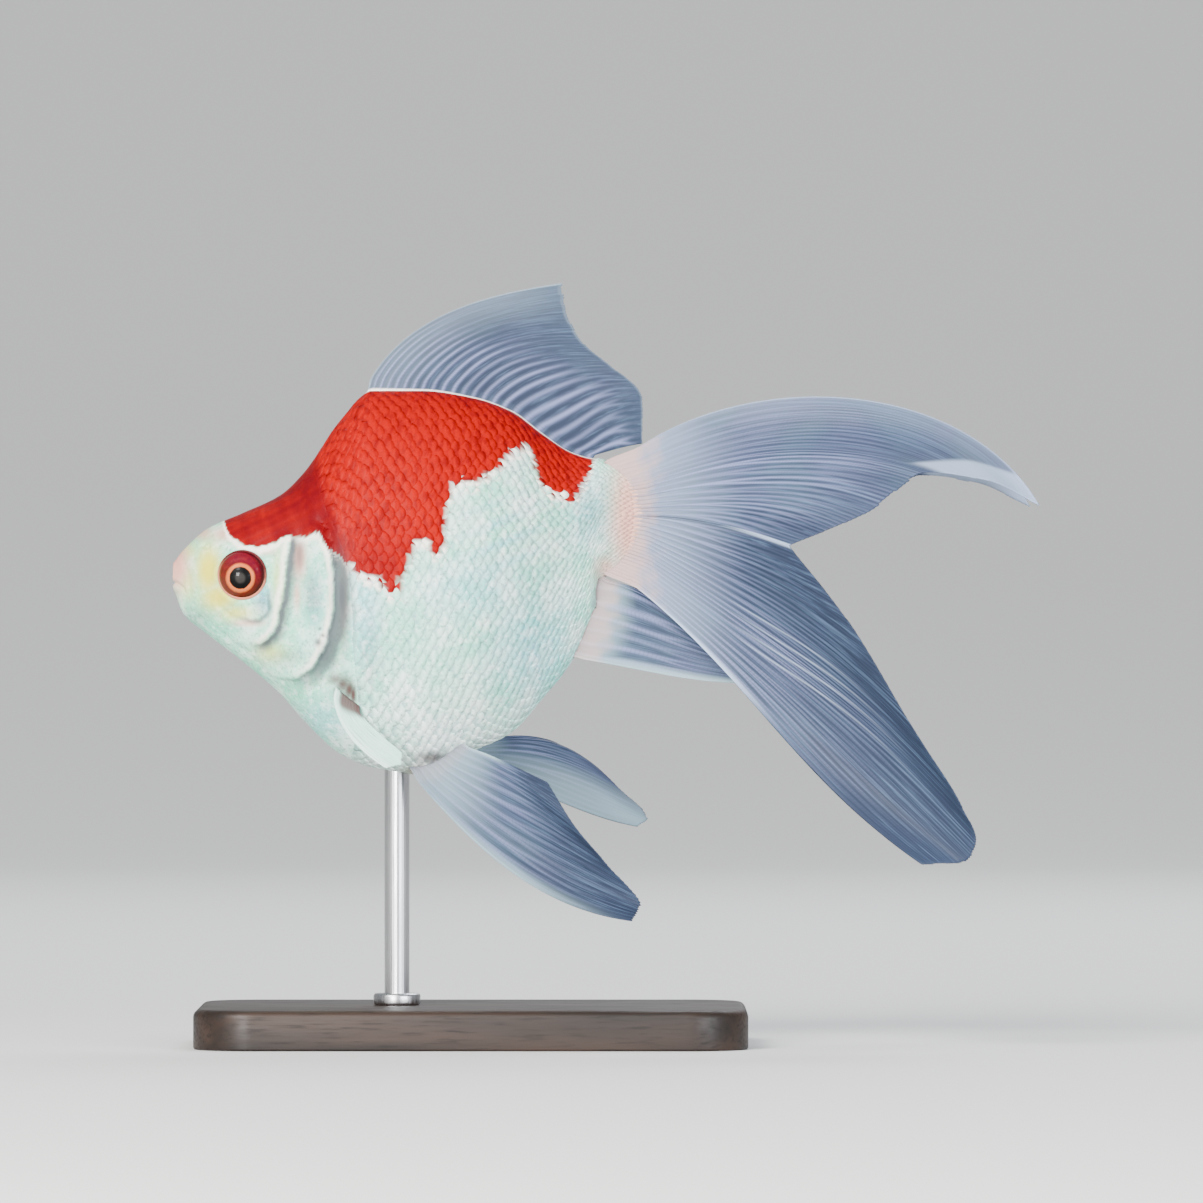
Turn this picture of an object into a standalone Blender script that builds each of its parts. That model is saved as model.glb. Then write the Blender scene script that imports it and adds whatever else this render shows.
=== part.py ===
"""A red and white ryukin goldfish, life size, as a still display model on a plain stand. Metres, +Z up.

The fish faces -X and its left side faces -Y. Sizes are in millimetres in the fish's own frame, where x runs
back from the tip of the snout, y is sideways from its midline and z is up from the level of its mouth. An
empty carries that frame over the stand. The stand's underside is at z = 0, with the origin at its centre.
"""

import bisect
import math

import bmesh
import bpy

MM = 0.001
GAP = 0.3  # left between any two pieces

# The fish over its stand
BASE_CENTRE_X = 60.0  # the place along the fish that is over the middle of the base
MOUTH_HEIGHT = 93.0
BASE_LENGTH, BASE_WIDTH, BASE_HEIGHT = 110.0, 70.0, 8.0
BASE_CORNER, BASE_EDGE = 12.0, 1.6
BASE_CORNER_STEPS, BASE_EDGE_STEPS = 8, 2
ROD_X, ROD_RADIUS, ROD_SIDES = 45.0, 2.5, 32
ROD_IN_BELLY, ROD_IN_BASE = 6.0, 5.0

# The body: stations from the snout back, each with the height of the back and of the belly, half the width,
# the level where it is widest, and how square its section is above and below that level (2 is an ellipse)
BODY = (
    # x, back, belly, half width, widest level, square above, square below
    (0.0, 3.4, -1.6, 2.2, 0.8, 2.0, 2.0),
    (2.4, 6.2, -7.0, 4.8, 0.0, 2.1, 2.0),
    (7.2, 10.4, -11.0, 8.4, 0.0, 2.2, 2.1),
    (14.0, 13.4, -16.2, 12.2, 0.0, 2.2, 2.1),
    (21.6, 17.0, -22.8, 14.8, -2.0, 2.1, 2.1),
    (26.4, 21.6, -28.2, 16.6, -4.0, 1.9, 2.1),
    (33.6, 32.0, -34.8, 19.2, -4.0, 1.75, 2.1),
    (40.0, 38.0, -37.6, 20.8, -3.0, 1.75, 2.1),
    (50.0, 38.0, -39.0, 21.4, -2.0, 1.8, 2.1),
    (60.0, 36.6, -34.4, 20.0, 0.0, 1.8, 2.1),
    (68.0, 33.8, -30.6, 16.6, 2.0, 1.9, 2.0),
    (74.0, 29.4, -24.0, 12.6, 5.0, 1.9, 2.0),
    (80.0, 25.6, -16.4, 8.4, 8.0, 2.0, 2.0),
    (84.0, 24.5, -7.5, 6.2, 11.0, 2.0, 2.0),
    (86.5, 24.4, -0.4, 5.2, 12.0, 2.2, 2.2),
    (92.5, 23.6, 1.2, 3.0, 12.4, 2.4, 2.4),
)
BODY_LENGTH = BODY[-1][0]
BODY_RINGS, BODY_SIDES = 42, 28
TAIL_ROOT_BOW = 3.4  # how far the middle of the tail's root stands behind its two ends
BOW_FADES = 8.0  # length over which that bow comes into the body

# Thin cuts through the whole body, as places (x, z) that each cut passes in the side view
CUT_WIDTH, CUT_STEPS = 80.0, 14
GILL_CUT = ((27.0, 40.0), (28.6, 24.0), (32.6, 10.0), (34.6, -4.0), (33.6, -14.0), (29.6, -21.0), (22.0, -34.0))
STALK_CUT = ((83.4, 40.0), (84.4, 14.0), (86.4, 2.0), (92.0, -12.0))
MOUTH_CUT = ((-3.0, -0.2), (1.0, -0.8), (4.4, -2.6), (5.6, -5.4), (6.6, -16.0))
LIP_CUT = ((4.3, -2.2), (3.4, 1.4), (0.6, 4.8), (-3.0, 6.4))

# The gill covers: a plate each, proud of the cheek behind it
COVER_MIDDLE = (26.6, -4.4)
COVER_OUTLINE = (  # how far the edge is from the middle, at each angle up from straight back
    (-180.0, 4.6), (-140.0, 6.2), (-105.0, 12.6), (-85.0, 13.8), (-50.0, 11.0), (-20.0, 7.6), (0.0, 6.8),
    (30.0, 7.4), (60.0, 11.0), (85.0, 13.2), (105.0, 11.6), (140.0, 6.0), (180.0, 4.6),
)
COVER_THICKNESS, COVER_RISE = 1.6, 0.5
POCKET_RISE = 4.0  # the pocket's cutter stands out of the cheek by this, so that it cuts right through it
COVER_SQUARE, POCKET_SQUARE = 0.5, 0.2  # how upright the edge is: 1 is a lens, and near 0 a plate with square edges

# The eyes
EYE_X, EYE_Z = 14.4, 1.0
EYE_RADIUS, EYE_DEPTH = 4.7, 3.4
EYE_STANDS_OUT = 1.9

# Fins. A row of `rays` is one ray: where its tip is (x, y outwards, z), and its slope where it leaves the body
# and where it ends, in degrees up from straight back. The rays between rows follow smoothly. The root is two
# places on the body, each a station and an angle round its section, where 90 is the back and -90 the belly.
# A fin that lies along the body stands off it by about half its thickness.
FIN_EDGE, FIN_ROOT = 0.7, 1.3  # thickness
SWING = 1.25  # 1 would swing a ray out evenly along its length, and more swings it out later
RAY_PULL = 0.36  # how far a ray keeps to the slopes of its ends, as a share of its length
LOBE_RIPPLE = 1.2  # how far the tail's folds stand out
FOLDS_ACROSS, FOLDS_ALONG = 1.6, 0.5  # their number across a lobe and along it
FORK_ROOM = 0.5  # between the roots of two lobes and the fork
DORSAL_FIN = {
    "root": ((38.6, 90.0), (84.0, 90.0)),
    "stand_off": 0.0,
    "rays": (
        (78.2, 0.0, 59.4, 65.0, 8.0),
        (79.2, 0.4, 53.6, 62.0, 6.0),
        (82.6, 0.8, 47.2, 54.0, -4.0),
        (88.2, 1.0, 42.6, 42.0, -6.0),
        (94.2, 0.8, 36.4, 30.0, -4.0),
        (94.2, 0.0, 27.3, 16.0, 8.0),
    ),
}
TAIL_ROOT_TOP, TAIL_ROOT_FORK, TAIL_ROOT_FOOT = 23.6, 12.8, 1.4
TAIL_ROOT_Y = 1.6
UPPER_LOBE = (
    (172.6, 24.0, 14.6, 39.5, -61.0),
    (162.4, 28.0, 19.4, 28.0, -42.0),
    (151.0, 28.0, 21.2, 20.0, -20.0),
    (138.5, 25.0, 13.2, 9.0, -22.0),
    (123.4, 20.0, 7.4, 0.0, -20.0),
)
LOWER_LOBE = (
    (123.0, 20.0, 6.2, 0.0, -20.0),
    (135.0, 27.0, -8.5, -15.0, -34.0),
    (147.5, 32.0, -29.5, -26.0, -48.0),
    (156.6, 34.0, -44.0, -32.0, -50.0),
    (160.0, 34.0, -51.6, -33.5, -48.0),
    (156.6, 33.2, -56.2, -35.0, -42.0),
    (149.4, 31.8, -56.4, -36.0, -34.0),
)
ANAL_FIN = {
    "root": ((80.4, -82.0), (88.4, -80.0)),
    "stand_off": 0.2,
    "rays": (
        (113.0, 3.6, -20.6, -8.0, -2.0),
        (113.6, 3.6, -17.8, -8.0, -14.0),
        (110.6, 3.0, -14.2, -6.0, -26.0),
        (106.0, 2.4, -9.4, -8.0, -34.0),
    ),
}
PELVIC_FIN_LEFT = {
    "root": ((47.6, -74.0), (58.5, -68.0)),
    "stand_off": 0.3,
    "rays": (
        (92.6, 18.0, -67.8, -50.0, -6.0),
        (94.0, 20.0, -64.6, -42.0, -24.0),
        (87.6, 20.0, -57.0, -30.0, -34.0),
        (81.0, 19.0, -49.4, -22.0, -42.0),
        (75.2, 16.0, -40.2, -16.0, -24.0),
    ),
}
PELVIC_FIN_RIGHT = {
    "root": ((53.0, -72.0), (60.5, -68.0)),
    "stand_off": 0.3,
    "rays": (
        (93.4, 15.0, -49.6, -4.0, -10.0),
        (95.4, 17.0, -47.8, 4.0, -26.0),
        (90.2, 18.0, -42.6, 8.0, -36.0),
        (83.6, 17.0, -36.6, 12.0, -36.0),
        (77.0, 15.0, -32.8, 12.0, -22.0),
    ),
}
PECTORAL_FIN_LEFT = {
    "root": ((33.0, -34.0), (37.6, -40.0)),
    "stand_off": 0.6,
    "rays": (
        (43.6, 17.6, -37.6, -92.0, -30.0),
        (46.4, 18.4, -36.6, -82.0, -30.0),
        (46.4, 18.4, -34.8, -70.0, -34.0),
        (44.6, 18.0, -33.0, -58.0, -44.0),
    ),
}
PECTORAL_FIN_RIGHT = {
    "root": ((33.0, -34.0), (37.6, -40.0)),
    "stand_off": 0.6,
    "rays": (
        (45.0, 27.0, -36.0, -80.0, -30.0),
        (48.6, 27.0, -34.6, -68.0, -30.0),
        (49.0, 26.0, -32.0, -56.0, -34.0),
        (46.8, 24.0, -29.6, -44.0, -40.0),
    ),
}


def remove_everything():
    for thing in list(bpy.data.objects):
        bpy.data.objects.remove(thing)


def collection(name):
    made = bpy.data.collections.new(name)
    bpy.context.scene.collection.children.link(made)
    return made


def finish(name, colour, roughness, metallic=0.0):
    """A plain material: its colour is linear."""
    made = bpy.data.materials.new(name)
    made.use_nodes = True
    shader = made.node_tree.nodes["Principled BSDF"]
    shader.inputs["Base Color"].default_value = (*colour, 1.0)
    shader.inputs["Roughness"].default_value = roughness
    shader.inputs["Metallic"].default_value = metallic
    return made


def smooth_curve(places, values):
    """A smooth curve through values at rising places, which never overshoots them."""
    runs = [b - a for a, b in zip(places, places[1:])]
    slopes = [(b - a) / run for a, b, run in zip(values, values[1:], runs)]
    tangents = [slopes[0]]
    for before, after in zip(slopes, slopes[1:]):
        tangents.append(2 * before * after / (before + after) if before * after > 0 else 0.0)
    tangents.append(slopes[-1])

    def value(place):
        place = min(max(place, places[0]), places[-1])
        i = min(bisect.bisect_right(places, place), len(runs)) - 1
        u = (place - places[i]) / runs[i]
        start, end = values[i], values[i + 1]
        pull_start, pull_end = tangents[i] * runs[i], tangents[i + 1] * runs[i]
        return (
            start
            + u * pull_start
            + u**2 * (3 * (end - start) - 2 * pull_start - pull_end)
            + u**3 * (2 * (start - end) + pull_start + pull_end)
        )

    return value


def columns(rows, places):
    """One smooth curve for each column of a table."""
    return [smooth_curve(places, column) for column in zip(*rows)]


BODY_CURVES = columns([row[1:] for row in BODY], [row[0] for row in BODY])


def body_point(x, angle):
    """The surface of the body at a station, at an angle round it from the widest level on the left."""
    back, belly, half_width, level, above, below = [curve(x) for curve in BODY_CURVES]
    up = math.sin(angle) > 0
    height, square = (back - level, above) if up else (level - belly, below)
    across, along = math.cos(angle), math.sin(angle)
    y = -math.copysign(abs(across) ** (2 / square), across) * half_width
    z = level + math.copysign(abs(along) ** (2 / square), along) * height
    end = max(0.0, 1 - (BODY_LENGTH - x) / BOW_FADES)
    x -= end * TAIL_ROOT_BOW * ((z - TAIL_ROOT_FORK) / (TAIL_ROOT_TOP - TAIL_ROOT_FORK)) ** 2
    return x, y, z


def body_side(x, z):
    """Half the width of the body at a station and a height."""
    back, belly, half_width, level, above, below = [curve(x) for curve in BODY_CURVES]
    height, square = (back - level, above) if z > level else (level - belly, below)
    return half_width * max(0.0, 1 - abs((z - level) / height) ** square) ** (1 / square)


def place_off_body(x, degrees, stand_off):
    """A place off the body's surface, along its normal."""
    angle, step = math.radians(degrees), 0.01
    here = body_point(x, angle)
    along = [b - a for a, b in zip(here, body_point(x + step, angle))]
    around = [b - a for a, b in zip(here, body_point(x, angle + step))]
    normal = (
        along[1] * around[2] - along[2] * around[1],
        along[2] * around[0] - along[0] * around[2],
        along[0] * around[1] - along[1] * around[0],
    )
    length = math.sqrt(sum(n * n for n in normal))
    outwards = math.copysign(1.0, normal[1] * here[1] + normal[2] * (here[2] - BODY_CURVES[3](x)))
    return [c + outwards * (GAP + stand_off) * n / length for c, n in zip(here, normal)]


def add(name, bm, material, group, parent=None, smooth=True):
    """Makes an object from a bmesh whose vertices are in millimetres."""
    for vertex in bm.verts:
        vertex.co *= MM
    bm.normal_update()
    bmesh.ops.recalc_face_normals(bm, faces=bm.faces)
    mesh = bpy.data.meshes.new(name)
    bm.to_mesh(mesh)
    bm.free()
    if smooth:
        mesh.shade_smooth()
    made = bpy.data.objects.new(name, mesh)
    made.parent = parent
    if material:
        mesh.materials.append(material)
    group.objects.link(made)
    return made


def as_cutter(thing):
    thing.hide_render = True
    thing.display_type = "WIRE"
    return thing


def cut(thing, cutter):
    boolean = thing.modifiers.new(cutter.name, "BOOLEAN")
    boolean.operation = "DIFFERENCE"
    boolean.object = cutter


def whole_body():
    """A sphere drawn out along the fish: its poles become the snout and the root of the tail."""
    bm = bmesh.new()
    bmesh.ops.create_uvsphere(bm, u_segments=BODY_SIDES, v_segments=BODY_RINGS, radius=1.0)
    for vertex in bm.verts:
        across, up, pole = vertex.co
        x = BODY_LENGTH * (1 - pole) / 2
        if abs(pole) > 0.9999:
            level = BODY_CURVES[3](x)
            vertex.co = (x, 0.0, level)
        else:
            vertex.co = body_point(x, math.atan2(up, across))
    return bm


def thin_cut(name, path, group, parent):
    """A wall as thin as the gap, upright across the fish, along a smooth path in the side view."""
    along = columns(path, list(range(len(path))))
    bm = bmesh.new()
    bmesh.ops.create_grid(bm, x_segments=CUT_STEPS, y_segments=1, size=0.5)
    for vertex in bm.verts:
        place = (vertex.co.x + 0.5) * (len(path) - 1)
        x, z = [curve(place) for curve in along]
        vertex.co = (x, vertex.co.y * CUT_WIDTH, z)
    wall = as_cutter(add(name, bm, None, group, parent))
    solidify = wall.modifiers.new("thickness", "SOLIDIFY")
    solidify.thickness = GAP * MM
    solidify.offset = 0.0
    return wall


def loose_pieces(mesh):
    """The separate bodies of a mesh, each as its own bmesh in metres."""
    left = bmesh.new()
    left.from_mesh(mesh)
    unseen = set(left.verts)
    groups = []
    while unseen:
        stack, found = [unseen.pop()], set()
        while stack:
            vertex = stack.pop()
            found.add(vertex.index)
            for edge in vertex.link_edges:
                other = edge.other_vert(vertex)
                if other in unseen:
                    unseen.discard(other)
                    stack.append(other)
        groups.append(found)
    left.free()
    for found in groups:
        piece = bmesh.new()
        piece.from_mesh(mesh)
        outside = [vertex for vertex in piece.verts if vertex.index not in found]
        bmesh.ops.delete(piece, geom=outside, context="VERTS")
        yield piece


def gill_cover(name, side, material, group, parent, grow=0.0, rise=COVER_RISE, square=COVER_SQUARE):
    """A plate that follows the cheek: a sphere pressed flat, with its equator on the cover's outline."""
    reach = smooth_curve(*zip(*COVER_OUTLINE))
    bm = bmesh.new()
    bmesh.ops.create_uvsphere(bm, u_segments=22, v_segments=8, radius=1.0)
    for vertex in bm.verts:
        across, up, out = vertex.co
        share = min(1.0, math.hypot(across, up)) ** square
        turn = math.atan2(up, across)
        radius = share * (reach(math.degrees(turn)) + grow)
        x = COVER_MIDDLE[0] + radius * math.cos(turn)
        z = COVER_MIDDLE[1] + radius * math.sin(turn)
        depth = math.copysign(abs(out) ** square, out) if abs(out) > 1e-6 else 0.0
        middle = (rise - COVER_THICKNESS - grow) / 2
        half = (rise + COVER_THICKNESS + grow) / 2
        vertex.co = (x, side * (body_side(x, z) + middle + depth * half), z)
    return add(name, bm, material, group, parent)


def eyeball(name, side, material, group, parent, grow=0.0):
    bm = bmesh.new()
    bmesh.ops.create_uvsphere(bm, u_segments=18, v_segments=10, radius=1.0)
    middle = body_side(EYE_X, EYE_Z) + EYE_STANDS_OUT - EYE_DEPTH
    for vertex in bm.verts:
        vertex.co = (
            EYE_X + vertex.co.x * (EYE_RADIUS + grow),
            side * middle + vertex.co.z * (EYE_DEPTH + grow),
            EYE_Z + vertex.co.y * (EYE_RADIUS + grow),
        )
    return add(name, bm, material, group, parent)


def ray_point(root, tip, leave, arrive, along):
    """A place along one fin ray: a curve that leaves and arrives at its slopes, and swings out sideways."""
    pull = RAY_PULL * math.dist((root[0], root[2]), (tip[0], tip[2]))
    places = (
        (root[0], root[2]),
        (root[0] + pull * math.cos(leave), root[2] + pull * math.sin(leave)),
        (tip[0] - pull * math.cos(arrive), tip[2] - pull * math.sin(arrive)),
        (tip[0], tip[2]),
    )
    weights = ((1 - along) ** 3, 3 * along * (1 - along) ** 2, 3 * along**2 * (1 - along), along**3)
    x, z = [sum(w * place[axis] for w, place in zip(weights, places)) for axis in (0, 1)]
    return x, root[1] + (tip[1] - root[1]) * along**SWING, z


def fin(name, root_at, rays, side, material, group, parent, around=8, out=10, ripple=0.0):
    """A thin curved fin. root_at gives the root from its front edge (0) to its rear edge (1)."""
    curves = columns(rays, [i / (len(rays) - 1) for i in range(len(rays))])
    bm = bmesh.new()
    bmesh.ops.create_grid(bm, x_segments=out, y_segments=around, size=0.5)
    thickness = {}
    for vertex in bm.verts:
        along, across = vertex.co.x + 0.5, vertex.co.y + 0.5
        tip_x, tip_y, tip_z, leave, arrive = [curve(across) for curve in curves]
        root = root_at(across)
        tip = (tip_x, tip_y, tip_z)
        x, y, z = ray_point(root, tip, math.radians(leave), math.radians(arrive), along)
        y += ripple * along * math.sin(2 * math.pi * (FOLDS_ACROSS * across + FOLDS_ALONG * along))
        vertex.co = (x, side * y, z)
        thickness[vertex.index] = (FIN_EDGE + (FIN_ROOT - FIN_EDGE) * (1 - along) ** 3) / FIN_ROOT
    made = add(name, bm, material, group, parent)
    weights = made.vertex_groups.new(name="thickness")
    for index, weight in thickness.items():
        weights.add([index], weight, "REPLACE")
    solidify = made.modifiers.new("thickness", "SOLIDIFY")
    solidify.thickness = FIN_ROOT * MM
    solidify.offset = 0.0
    solidify.vertex_group = weights.name
    return made


def root_on_body(shape):
    """The root of a fin from its front to its rear, on the side where y is positive."""
    (x_front, angle_front), (x_rear, angle_rear) = shape["root"]

    def root_at(across):
        x = x_front + (x_rear - x_front) * across
        angle = angle_front + (angle_rear - angle_front) * across
        place = place_off_body(x, angle, shape["stand_off"])
        return place[0], -place[1], place[2]

    return root_at


def tail_root(top, foot):
    """The root of a tail lobe, down the rear end of the body."""

    def root_at(across):
        z = top + (foot - top) * across
        bow = TAIL_ROOT_BOW * ((z - TAIL_ROOT_FORK) / (TAIL_ROOT_TOP - TAIL_ROOT_FORK)) ** 2
        return BODY_LENGTH - bow + GAP, TAIL_ROOT_Y, z

    return root_at


def flesh(group, cutters, parent):
    """The whole body, parted by thin cuts into jaws, head, trunk and tail stalk."""
    red = finish("red scales", (0.80, 0.05, 0.02), 0.35)
    white = finish("white scales", (0.85, 0.86, 0.82), 0.35)
    body = add("body", whole_body(), red, cutters, parent)
    for name, path in (("mouth", MOUTH_CUT), ("lip", LIP_CUT), ("gill", GILL_CUT), ("stalk", STALK_CUT)):
        cut(body, thin_cut(f"{name} cut", path, cutters, parent))
    bpy.context.view_layer.update()
    parted = bpy.data.meshes.new_from_object(body.evaluated_get(bpy.context.evaluated_depsgraph_get()))
    # Each piece is known by its rearmost point, from the front of the fish to the back
    pieces = sorted(loose_pieces(parted), key=lambda piece: max(vertex.co.x for vertex in piece.verts))
    bpy.data.objects.remove(body)
    made = {}
    for name, piece in zip(("upper_jaw", "lower_jaw", "head", "trunk", "tail_stalk"), pieces, strict=True):
        for vertex in piece.verts:
            vertex.co /= MM
        made[name] = add(name, piece, red if name in ("head", "trunk") else white, group, parent)
    return made


def round_off(bm, edges, offset, steps):
    bmesh.ops.bevel(bm, geom=edges, offset=offset, segments=steps, affect="EDGES", profile=0.5, material=-1)


def stand(group, cutters):
    wood = finish("dark stained wood", (0.035, 0.022, 0.015), 0.4)
    steel = finish("satin steel", (0.55, 0.55, 0.56), 0.3, 1.0)
    bm = bmesh.new()
    bmesh.ops.create_cube(bm, size=1.0)
    bmesh.ops.scale(bm, vec=(BASE_LENGTH, BASE_WIDTH, BASE_HEIGHT), verts=bm.verts)
    bmesh.ops.translate(bm, vec=(0, 0, BASE_HEIGHT / 2), verts=bm.verts)
    upright = [e for e in bm.edges if abs(e.verts[0].co.z - e.verts[1].co.z) > BASE_HEIGHT / 2]
    round_off(bm, upright, BASE_CORNER, BASE_CORNER_STEPS)
    rim = [e for e in bm.edges if min(v.co.z for v in e.verts) > BASE_HEIGHT - BASE_EDGE]
    round_off(bm, rim, BASE_EDGE, BASE_EDGE_STEPS)
    base = add("stand_base", bm, wood, group, smooth=False)
    rod_x = ROD_X - BASE_CENTRE_X
    foot = BASE_HEIGHT - ROD_IN_BASE
    top = MOUTH_HEIGHT + BODY_CURVES[1](ROD_X) + ROD_IN_BELLY
    add("stand_rod", upright_rod(rod_x, foot + GAP, top - GAP, ROD_RADIUS), steel, group, smooth=False)
    hole = upright_rod(rod_x, foot, top, ROD_RADIUS + GAP)
    return base, as_cutter(add("rod hole", hole, None, cutters, smooth=False))


def upright_rod(x, low, high, radius):
    bm = bmesh.new()
    bmesh.ops.create_cone(bm, cap_ends=True, segments=ROD_SIDES, radius1=radius, radius2=radius, depth=high - low)
    bmesh.ops.translate(bm, vec=(x, 0, (low + high) / 2), verts=bm.verts)
    return bm


def main():
    remove_everything()
    group, cutters = collection("ryukin_goldfish"), collection("cutters")
    fish = bpy.data.objects.new("fish_frame", None)
    fish.location = (-BASE_CENTRE_X * MM, 0, MOUTH_HEIGHT * MM)
    group.objects.link(fish)

    pieces = flesh(group, cutters, fish)
    pearly = finish("gill cover", (0.84, 0.88, 0.84), 0.3)
    dark_eye = finish("eye", (0.02, 0.01, 0.01), 0.05)
    skin_edge = finish("fin membrane", (0.42, 0.50, 0.58), 0.35)
    for name, side in (("left", -1), ("right", 1)):
        eyeball(f"eye_{name}", side, dark_eye, group, fish)
        gill_cover(f"gill_cover_{name}", side, pearly, group, fish)
        cut(pieces["head"], as_cutter(eyeball(f"{name} socket", side, None, cutters, fish, grow=GAP)))
        pocket = gill_cover(f"{name} pocket", side, None, cutters, fish, GAP, POCKET_RISE, POCKET_SQUARE)
        cut(pieces["head"], as_cutter(pocket))

    fins = (
        ("dorsal_fin", -1, DORSAL_FIN, 14, 10),
        ("pectoral_fin_left", -1, PECTORAL_FIN_LEFT, 5, 7),
        ("pectoral_fin_right", 1, PECTORAL_FIN_RIGHT, 5, 7),
        ("pelvic_fin_left", -1, PELVIC_FIN_LEFT, 7, 10),
        ("pelvic_fin_right", 1, PELVIC_FIN_RIGHT, 7, 10),
        ("anal_fin_left", -1, ANAL_FIN, 5, 8),
        ("anal_fin_right", 1, ANAL_FIN, 5, 8),
    )
    for name, side, shape, around, out in fins:
        fin(name, root_on_body(shape), shape["rays"], side, skin_edge, group, fish, around, out)
    lobes = (
        ("upper", TAIL_ROOT_TOP, TAIL_ROOT_FORK + FORK_ROOM, UPPER_LOBE),
        ("lower", TAIL_ROOT_FORK - FORK_ROOM, TAIL_ROOT_FOOT, LOWER_LOBE),
    )
    for lobe, top, foot, rays in lobes:
        for side_name, side in (("left", -1), ("right", 1)):
            root = tail_root(top, foot)
            name = f"tail_{side_name}_{lobe}_lobe"
            fin(name, root, rays, side, skin_edge, group, fish, around=8, out=12, ripple=LOBE_RIPPLE)

    base, hole = stand(group, cutters)
    cut(base, hole)
    cut(pieces["trunk"], hole)


main()
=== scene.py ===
"""A red and white ryukin goldfish, life size, as a museum shows one: still, and held on a plain stand.

The file is laid out as an add-on, with one operator for each group of pieces. Shapes are worked out in
the fish's own frame, in millimetres: x runs back from the tip of the snout, y is sideways from the
midline, with the left side at negative y, and z is up from the level of the mouth. What is made is in
metres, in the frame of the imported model.
"""

import math

import bmesh
import bpy
import numpy as np
from bpy.props import FloatProperty, FloatVectorProperty, IntProperty, PointerProperty
from mathutils import Matrix, Vector


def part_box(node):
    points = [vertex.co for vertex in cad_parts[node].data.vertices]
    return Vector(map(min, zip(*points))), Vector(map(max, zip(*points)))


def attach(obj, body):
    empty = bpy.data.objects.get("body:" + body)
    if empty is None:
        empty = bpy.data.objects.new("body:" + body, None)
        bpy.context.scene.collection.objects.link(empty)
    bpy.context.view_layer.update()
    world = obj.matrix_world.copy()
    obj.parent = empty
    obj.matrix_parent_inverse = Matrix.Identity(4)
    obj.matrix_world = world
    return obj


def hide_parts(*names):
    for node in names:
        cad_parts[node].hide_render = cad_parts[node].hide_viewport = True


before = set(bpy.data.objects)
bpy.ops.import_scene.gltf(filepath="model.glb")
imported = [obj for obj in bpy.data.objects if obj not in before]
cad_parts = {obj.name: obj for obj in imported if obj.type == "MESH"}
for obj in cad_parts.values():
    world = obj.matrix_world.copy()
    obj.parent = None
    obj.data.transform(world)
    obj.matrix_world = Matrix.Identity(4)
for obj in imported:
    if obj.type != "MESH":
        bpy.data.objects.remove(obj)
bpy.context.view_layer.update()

bl_info = {
    "name": "Ryukin goldfish on a stand",
    "version": (1, 0, 0),
    "blender": (4, 5, 0),
    "location": "View3D > Sidebar > Goldfish",
    "description": "Dresses the packed goldfish with skin, scales, eyes and rayed fins",
    "category": "Object",
}

MM = 0.001

# ------------------------------------------------------------------------------
# The fish's shape, from the same values as its solids
# ------------------------------------------------------------------------------
BODY = (
    # x, back, belly, half width, widest level, square above, square below
    (0.0, 3.4, -1.6, 2.2, 0.8, 2.0, 2.0),
    (2.4, 6.2, -7.0, 4.8, 0.0, 2.1, 2.0),
    (7.2, 10.4, -11.0, 8.4, 0.0, 2.2, 2.1),
    (14.0, 13.4, -16.2, 12.2, 0.0, 2.2, 2.1),
    (21.6, 17.0, -22.8, 14.8, -2.0, 2.1, 2.1),
    (26.4, 21.6, -28.2, 16.6, -4.0, 1.9, 2.1),
    (33.6, 32.0, -34.8, 19.2, -4.0, 1.75, 2.1),
    (40.0, 38.0, -37.6, 20.8, -3.0, 1.75, 2.1),
    (50.0, 38.0, -39.0, 21.4, -2.0, 1.8, 2.1),
    (60.0, 36.6, -34.4, 20.0, 0.0, 1.8, 2.1),
    (68.0, 33.8, -30.6, 16.6, 2.0, 1.9, 2.0),
    (74.0, 29.4, -24.0, 12.6, 5.0, 1.9, 2.0),
    (80.0, 25.6, -16.4, 8.4, 8.0, 2.0, 2.0),
    (84.0, 24.5, -7.5, 6.2, 11.0, 2.0, 2.0),
    (86.5, 24.4, -0.4, 5.2, 12.0, 2.2, 2.2),
    (92.5, 23.6, 1.2, 3.0, 12.4, 2.4, 2.4),
)
BODY_LENGTH = BODY[-1][0]
TAIL_ROOT_BOW = 3.4  # how far the middle of the tail's root stands behind its two ends
TAIL_ROOT_TOP, TAIL_ROOT_FORK, TAIL_ROOT_FOOT = 23.6, 12.8, 1.4
NAPE_LINE = 36.0  # the station, at the level of the mouth, of the dark line behind the head, a painted shadow of the gill covers
BACK_LEVEL = 15.0  # the back, where the dorsal fin stands, is above this level
INSET = 0.06  # how far bare skin, and the tips of the scales, lie inside the solids' surface
TAIL_TAPER = 0.06  # how much the scales over the tail's root draw in, for each millimetre back
GAP = 0.3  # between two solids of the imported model

# The fish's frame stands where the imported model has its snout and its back
SNOUT_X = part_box("upper_jaw")[0].x / MM
MOUTH_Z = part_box("trunk")[1].z / MM - max(row[1] for row in BODY)

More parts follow.
